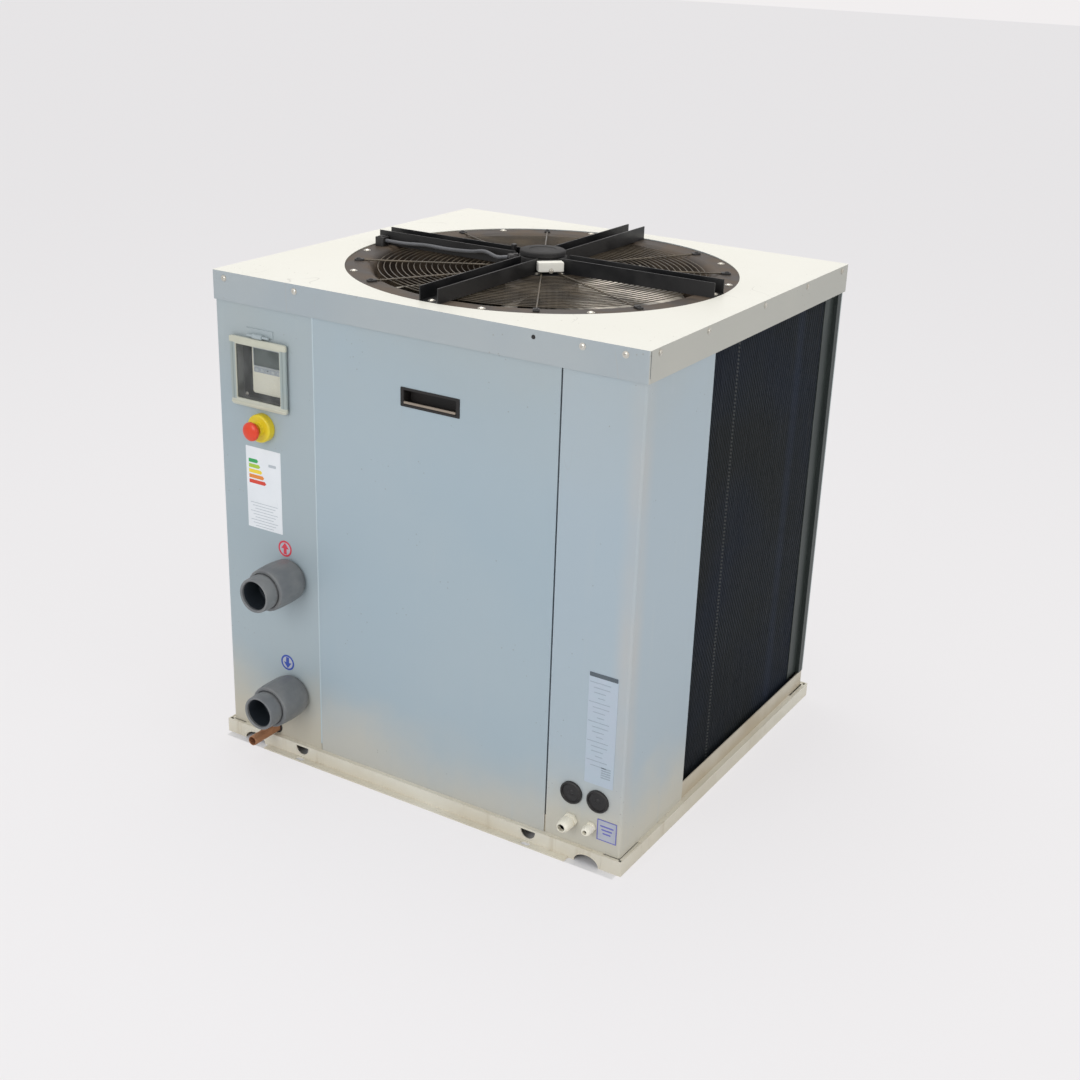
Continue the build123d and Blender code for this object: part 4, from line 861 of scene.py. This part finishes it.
stop = {"x": -0.3815, "z": 0.748}
edge = [(0.0300 - 0.004 * (1 - math.cos(a)), 0.014 + 0.004 * math.sin(a)) for a in np.linspace(0, 1.45, 6)]
collar = [(0.0292, 0), (0.030, 0.001), (0.030, 0.014)] + edge[1:] + [(0.018, 0.018), (0.0155, 0.0185), (0.015, 0.020), (0.015, 0.0252), (0.0143, 0.026), (0.0095, 0.026)]
addPiece("stopCollar", placed(turned(collar, 64), frontSpot(stop["x"], stop["z"])), finishes["yellow"], stands=("estop_collar",))
head = [(0.009, 0.009), (0.009, 0.034), (0.0165, 0.0342), (0.0185, 0.0352), (0.0200, 0.0375), (0.0200, 0.0405)]
head += [(0.0200 * math.cos(a), 0.0405 + 0.0075 * math.sin(a)) for a in np.linspace(0.2, 1.5, 9)]
addPiece("stopHead", placed(turned(head, 64), frontSpot(stop["x"], stop["z"])), finishes["red"], body="stop_button", stands=("estop_button",))

water = {"x": -0.321, "outlet": 0.424, "inlet": 0.150}


def socketShape():
    # Pipe socket: a stepped lip, the body behind it and a bore with its stop ledge.
    profile = [(0.0387, -0.020), (0.0387, 0.079), (0.0362, 0.080), (0.0362, 0.0868), (0.0380, 0.0880), (0.0383, 0.102), (0.0376, 0.1155), (0.0366, 0.118)]
    profile += [(0.0330, 0.118), (0.0315, 0.1165), (0.0315, 0.066), (0.027, 0.0655), (0.027, -0.020)]
    return turned(profile, 72, ring=True)


def unionNut():
    # Barrel nut: a swelling body with faint grips, a step down to its mouth and a narrow waist at the panel.
    t = np.linspace(0, 1, 19)
    body = np.stack([0.0448 + 0.0028 * np.sin(math.pi * (0.10 + 0.80 * t)) ** 0.8, 0.0135 + 0.0665 * t], -1)
    profile = [(0.0395, 0.006), (0.0430, 0.006), (0.0442, 0.0072), (0.0442, 0.0118)] + body.tolist()
    profile += [(body[-1, 0] - 0.0006, 0.0822), (body[-1, 0] - 0.0022, 0.0838), (0.0395, 0.084)]
    return turned(profile, 96, ring=True, lobes=24, lobeDepth=0.00022)


for place in ("outlet", "inlet"):
    spot = frontSpot(water["x"], water[place])
    addPiece(place + "Socket", placed(socketShape(), spot), finishes["pvc"], stands=("water_" + place + "_socket",))
    addPiece(place + "Nut", placed(unionNut(), spot), finishes["pvc"], stands=("water_" + place + "_nut",))
    # A dark lining over the bore walls: painted shade inside the pipe socket.
    shadeLining = turned([(0.0313, 0.112), (0.0308, 0.112), (0.0308, 0.067), (0.0268, 0.0665), (0.0268, 0.0), (0.0272, 0.0), (0.0272, 0.066), (0.0313, 0.066)], 48, ring=True)
    addPiece(place + "Bore", placed(shadeLining, spot), finishes["pvcBore"])

stub = [(0.011, -0.012), (0.011, 0.0), (0.0110, 0.048), (0.0106, 0.0505), (0.0106, 0.054), (0.011, 0.0565), (0.011, 0.080), (0.0106, 0.082),
        (0.0094, 0.082), (0.009, 0.0805), (0.009, -0.012)]
addPiece("drainStub", placed(turned(stub, 40, ring=True), frontSpot(-0.374, 0.050)), finishes["copper"], stands=("drain_stub",))

plug = [(0.0235, 0), (0.0245, 0.0006), (0.0245, 0.0036), (0.0236, 0.0052), (0.0222, 0.006), (0.0206, 0.0056), (0.0196, 0.0040), (0.0190, 0.0026),
        (0.0060, 0.0022), (0.0050, 0.0030), (0.0030, 0.0032)]
plugs = joined(*[placed(turned(plug, 48), frontSpot(x, 0.145)) for x in (0.386, 0.446)])
addPiece("blankPlugs", plugs, finishes["black"], stands=("blank_plugs",))


def glandShape(nutRadius, length, bore):
    # Cable gland: a hexagon against the panel, a ribbed dome cap and an open bore.
    body = turned([(bore, 0), (nutRadius * 0.94, 0), (nutRadius, 0.001), (nutRadius, 0.20 * length), (nutRadius * 0.94, 0.24 * length), (bore, 0.24 * length)], 6, ring=True)
    r = nutRadius * 0.86
    cap = [(bore, 0.24 * length), (r * 0.92, 0.24 * length), (r * 0.92, 0.30 * length), (r, 0.32 * length), (r, 0.62 * length), (r * 0.95, 0.78 * length),
           (r * 0.84, 0.90 * length), (r * 0.70, 0.975 * length), (bore * 1.12, length), (bore, 0.97 * length)]
    return joined(body, turned(cap, 60, ring=True, lobes=15, lobeDepth=0.0003))


glands = joined(
    placed(glandShape(0.016, 0.040, 0.0078), frontSpot(0.387, 0.083)),
    placed(glandShape(0.0115, 0.028, 0.0048), frontSpot(0.434, 0.083)),
)
addPiece("cableGlands", glands, finishes["glandCream"], stands=("cable_glands",))
# Dark fills inside the open gland bores: painted shade in the holes.
boreShadeFills = [turned([(r, 0.0), (r, h)], 24) for r, h in ((0.0077, 0.030), (0.0047, 0.020))]
glandShadeFills = joined(placed(boreShadeFills[0], frontSpot(0.387, 0.083)), placed(boreShadeFills[1], frontSpot(0.434, 0.083)))
addPiece("glandBoreShadeFills", glandShadeFills, finishes["holeShade"])
rim = [(0.126, 0.032, 0.001, -0.024), (0.126, 0.032, 0.001, 0.0), (0.138, 0.0385, 0.002, 0.0), (0.138, 0.0385, 0.002, 0.0008), (0.137, 0.0375, 0.0015, 0.0014),
       (0.1225, 0.0285, 0.001, 0.0014), (0.122, 0.028, 0.001, 0.0006), (0.122, 0.028, 0.001, -0.022)]
back = stacked([(0.1224, 0.0284, 0.001, -0.024), (0.1224, 0.0284, 0.001, -0.022)])
addPiece("handleTray", placed(joined(stacked(rim, ring=True), back), frontSpot(0.038, 0.880)), finishes["recess"], stands=("handle_recess",))
# A pale strip on the lower lip of the handle tray: a painted highlight where the chamfer catches light.
lipHighlightStrip = placed(softSlab(0.121, 0.0048, 0.0030, 0.001, 0.0012), frontSpot(0.037, 0.8690, -0.0016))
addPiece("handleLipHighlight", lipHighlightStrip, finishes["lipHighlight"])
grommet = turned([(0.0113, 0), (0.0152, 0), (0.0152, 0.0010), (0.0140, 0.0020), (0.0113, 0.0020)], 40, ring=True)
ledges = []
for sideX in (-1, 1):
    for sideY in (-1, 1):
        ledges.append(moved(stacked([(0.050, 0.0068, 0.0008, 0.0285), (0.050, 0.0068, 0.0008, 0.0305)]), (sideX * 0.4815, sideY * 0.4606, 0)))
        ledges.append(moved(stacked([(0.0064, 0.090, 0.0008, 0.0285), (0.0064, 0.090, 0.0008, 0.0305)]), (sideX * 0.5036, sideY * 0.4180, 0)))
addPiece("footLedges", joined(*ledges), finishes["base"])
addPiece("drainGrommet", placed(grommet, frontSpot(-0.374, 0.050)), finishes["black"])
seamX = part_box("service_door")[0][0] - 0.0010
seamStrip = placed(softSlab(0.0030, 1.000, 0.0006, 0.0008, 0.0003), frontSpot(seamX, 0.548, 0.0))
addPiece("seamStrip", seamStrip, finishes["seamLight"])
cornerSeam = placed(softSlab(0.0012, 0.048, 0.0002, 0.0004, 0.0001), (0.5032, -0.4565, 1.034), "right")
addPiece("lidCornerSeam", cornerSeam, finishes["lidSeam"])
stub = turned([(0.0062, 1.0605), (0.0062, 1.0700), (0.0052, 1.0710), (0.0052, 1.0900), (0.0060, 1.0908), (0.0060, 1.0950), (0.0040, 1.0960)], 24)
addPiece("cableStub", moved(stub, (-0.078, 0.010, 0)), finishes["black"])
print("front fittings made")


# Labels: plain plates with generic bars and rules
def label(x, z, width, height, out=0.0002):
    corner = min(0.0012, 0.3 * min(width, height))
    return placed(stacked([(width, height, corner, 0.0), (width, height, corner, 0.00025)]), frontSpot(x, z, out))


def extruded(outline, thick):
    outline = np.array(outline, float)
    flat = np.stack([np.column_stack([outline, np.full(len(outline), z)]) for z in (0.0, thick)])
    return gridShape(flat, closeColumns=True, caps=("first", "last"))


addPiece("energyLabel", label(-0.386, 0.6085, 0.094, 0.181), finishes["paper"])
bars = (("barGreen", 0.026), ("barLime", 0.031), ("barYellow", 0.036), ("barOrange", 0.041), ("barRed", 0.046))
for k, (ink, width) in enumerate(bars):
    z = 0.668 - 0.0115 * k
    arrow = [(0, -0.0042), (width - 0.004, -0.0042), (width, 0), (width - 0.004, 0.0042), (0, 0.0042)]
    addPiece("labelBar" + str(k + 1), placed(extruded(arrow, 0.0001), frontSpot(-0.426, z, 0.00045)), finishes[ink])
rules = [label(-0.388, 0.575 - 0.0065 * k, 0.074 - 0.012 * (k % 3), 0.0013, 0.00045) for k in range(9)]
rules.append(label(-0.362, 0.665, 0.020, 0.006, 0.00045))
addPiece("labelRules", joined(*rules), finishes["inkPale"])

for name, z, way, ink in (("warmArrow", 0.488, 1, "inkRed"), ("coldArrow", 0.219, -1, "inkBlue")):
    spot = frontSpot(-0.334 if way > 0 else -0.337, z, 0.0002)
    disc = turned([(0.018, 0), (0.018, 0.0002)], 48)
    addPiece(name + "Disc", placed(disc, spot), finishes["violetPale"])
    ring = turned([(0.018, 0.0002), (0.018, 0.0004), (0.0140, 0.0004), (0.0140, 0.0002)], 48, ring=True)
    arrow = [(-0.0040, -0.0125), (0.0040, -0.0125), (0.0040, 0.000), (0.0105, 0.000), (0, 0.0135), (-0.0105, 0.000), (-0.0040, 0.000)]
    arrow = extruded([(px, py * way) for px, py in arrow], 0.0002)
    addPiece(name, placed(joined(ring, moved(arrow, (0, 0, 0.0002))), spot), finishes[ink])

addPiece("ratingPlate", label(0.445, 0.3005, 0.064, 0.241), finishes["silverLabel"])
addPiece("ratingBar", label(0.445, 0.4160, 0.062, 0.009, 0.00045), finishes["inkDark"])
lines = [label(0.438 + 0.004 * (k % 2), 0.400 - 0.0105 * k, 0.046 - 0.010 * (k % 4), 0.0014, 0.00045) for k in range(18)]
lines += [label(0.4595, 0.2000 + 0.0052 * k, 0.021, 0.0026, 0.00045) for k in range(5)]
addPiece("ratingRules", joined(*lines), finishes["inkSilver"])
frameRing = stacked([(0.044, 0.047, 0.001, 0.0002), (0.044, 0.047, 0.001, 0.0006), (0.040, 0.043, 0.001, 0.0006), (0.040, 0.043, 0.001, 0.0002)], ring=True)
addPiece("squareLabel", label(0.469, 0.0835, 0.044, 0.047), finishes["violetPale"])
marks = [label(0.469, 0.093 - 0.008 * k, 0.030 - 0.006 * k, 0.0032, 0.00045) for k in range(3)]
addPiece("squareLabelFrame", joined(placed(frameRing, frontSpot(0.469, 0.0835)), *marks), finishes["inkViolet"])
print("labels made")


# Stage, light and camera
studioLook = {
    "floorSize": 60, "floor": (0.80, 0.79, 0.80), "floorGlow": (0.880, 0.860, 0.866), "glowShare": 0.78,
    "backdrop": (0.885, 0.862, 0.866), "air": (0.93, 0.96, 1.0), "airStrength": 0.62,
}


def studio():
    bpy.ops.mesh.primitive_plane_add(size=studioLook["floorSize"], location=(0, 0, 0))
    floor = bpy.context.object
    floor.name = "studioFloor"
    material, tree = newMaterial("paleFloor")
    shader, out = tree.nodes["Principled BSDF"], tree.nodes["Material Output"]
    shader.inputs["Base Color"].default_value = (*studioLook["floor"], 1)
    shader.inputs["Roughness"].default_value = 0.9
    rays = addNode(tree, "LightPath")
    glow = addNode(tree, "Emission", [("Color", (*studioLook["floorGlow"], 1)), ("Strength", 1.0)])
    spot = addNode(tree, "SeparateXYZ", [(0, coordinates(tree))])
    reach = [math2(tree, "DIVIDE", math2(tree, "ABSOLUTE", spot.outputs[axis]), half) for axis, half in (("X", 0.50), ("Y", 0.484))]
    outside = math2(tree, "GREATER_THAN", math2(tree, "MAXIMUM", *reach), 1.0)
    share = math2(tree, "MULTIPLY", math2(tree, "MULTIPLY", rays.outputs["Is Camera Ray"], studioLook["glowShare"]), outside)
    both = addNode(tree, "MixShader", [(0, share), (1, shader.outputs[0]), (2, glow.outputs[0])])
    tree.links.new(both.outputs[0], out.inputs["Surface"])
    floor.data.materials.append(material)
    world = bpy.data.worlds.new("studioWorld")
    bpy.context.scene.world = world
    world.use_nodes = True
    tree = world.node_tree
    tree.nodes.clear()
    rays = addNode(tree, "LightPath")
    seen = math2(tree, "MAXIMUM", rays.outputs["Is Camera Ray"], rays.outputs["Is Glossy Ray"])
    seen = math2(tree, "MAXIMUM", seen, rays.outputs["Is Transmission Ray"])
    plain = addNode(tree, "Background", [("Color", (*studioLook["backdrop"], 1)), ("Strength", 1.0)])
    soft = addNode(tree, "Background", [("Color", (*studioLook["air"], 1)), ("Strength", studioLook["airStrength"])])
    both = addNode(tree, "MixShader", [(0, seen), (1, soft.outputs[0]), (2, plain.outputs[0])])
    addNode(tree, "OutputWorld", [(0, both.outputs[0])])


def softLamp(name, spot, target, size, power, colour):
    lamp = bpy.data.lights.new(name, "AREA")
    lamp.shape, lamp.size, lamp.energy, lamp.color = "DISK", size, power, colour
    holder = bpy.data.objects.new(name, lamp)
    bpy.context.scene.collection.objects.link(holder)
    holder.location = spot
    aim = Matrix.Translation(spot).to_translation() - Matrix.Translation(target).to_translation()
    holder.rotation_euler = aim.to_track_quat("Z", "Y").to_euler()


studio()
softLamp("topLamp", (-0.6, 0.6, 4.2), (0, 0, 1.0), 2.6, 62, (1.0, 0.98, 0.94))
softLamp("frontFill", (-0.2, -4.6, 2.4), (0.2, 0, 0.5), 2.6, 62, (0.97, 0.98, 1.0))
softLamp("sideFill", (4.4, -0.6, 2.4), (0, 0, 0.6), 2.4, 46, (1.0, 0.98, 0.95))

view = {
    "place": (1.6810, -2.7630, 1.7525), "yaw": -31.137, "pitch": 22.082, "roll": -1.976,
    "focal": 1548.6, "middle": (537.8, 539.3), "image": 1080,
}


def photoCamera():
    # The camera of the photograph: its axes are right, down and forward, turned by the roll.
    yaw, pitch, roll = (math.radians(view[key]) for key in ("yaw", "pitch", "roll"))
    forward = np.array([math.sin(yaw) * math.cos(pitch), math.cos(yaw) * math.cos(pitch), -math.sin(pitch)])
    level = np.array([math.cos(yaw), -math.sin(yaw), 0.0])
    below = np.cross(forward, level)
    right = math.cos(roll) * level + math.sin(roll) * below
    down = math.cos(roll) * below - math.sin(roll) * level
    lens = bpy.data.cameras.new("photoCamera")
    lens.sensor_fit, lens.sensor_width = "HORIZONTAL", 36.0
    lens.lens = view["focal"] * 36.0 / view["image"]
    lens.shift_x = (view["image"] / 2 - view["middle"][0]) / view["image"]
    lens.shift_y = (view["middle"][1] - view["image"] / 2) / view["image"]
    holder = bpy.data.objects.new("photoCamera", lens)
    bpy.context.scene.collection.objects.link(holder)
    turn = Matrix(np.column_stack([right, -down, -forward]).tolist())
    holder.matrix_world = Matrix.Translation(view["place"]) @ turn.to_4x4()
    bpy.context.scene.camera = holder


photoCamera()
bpy.context.scene.view_settings.view_transform = "Standard"
print("stage, light and camera set")
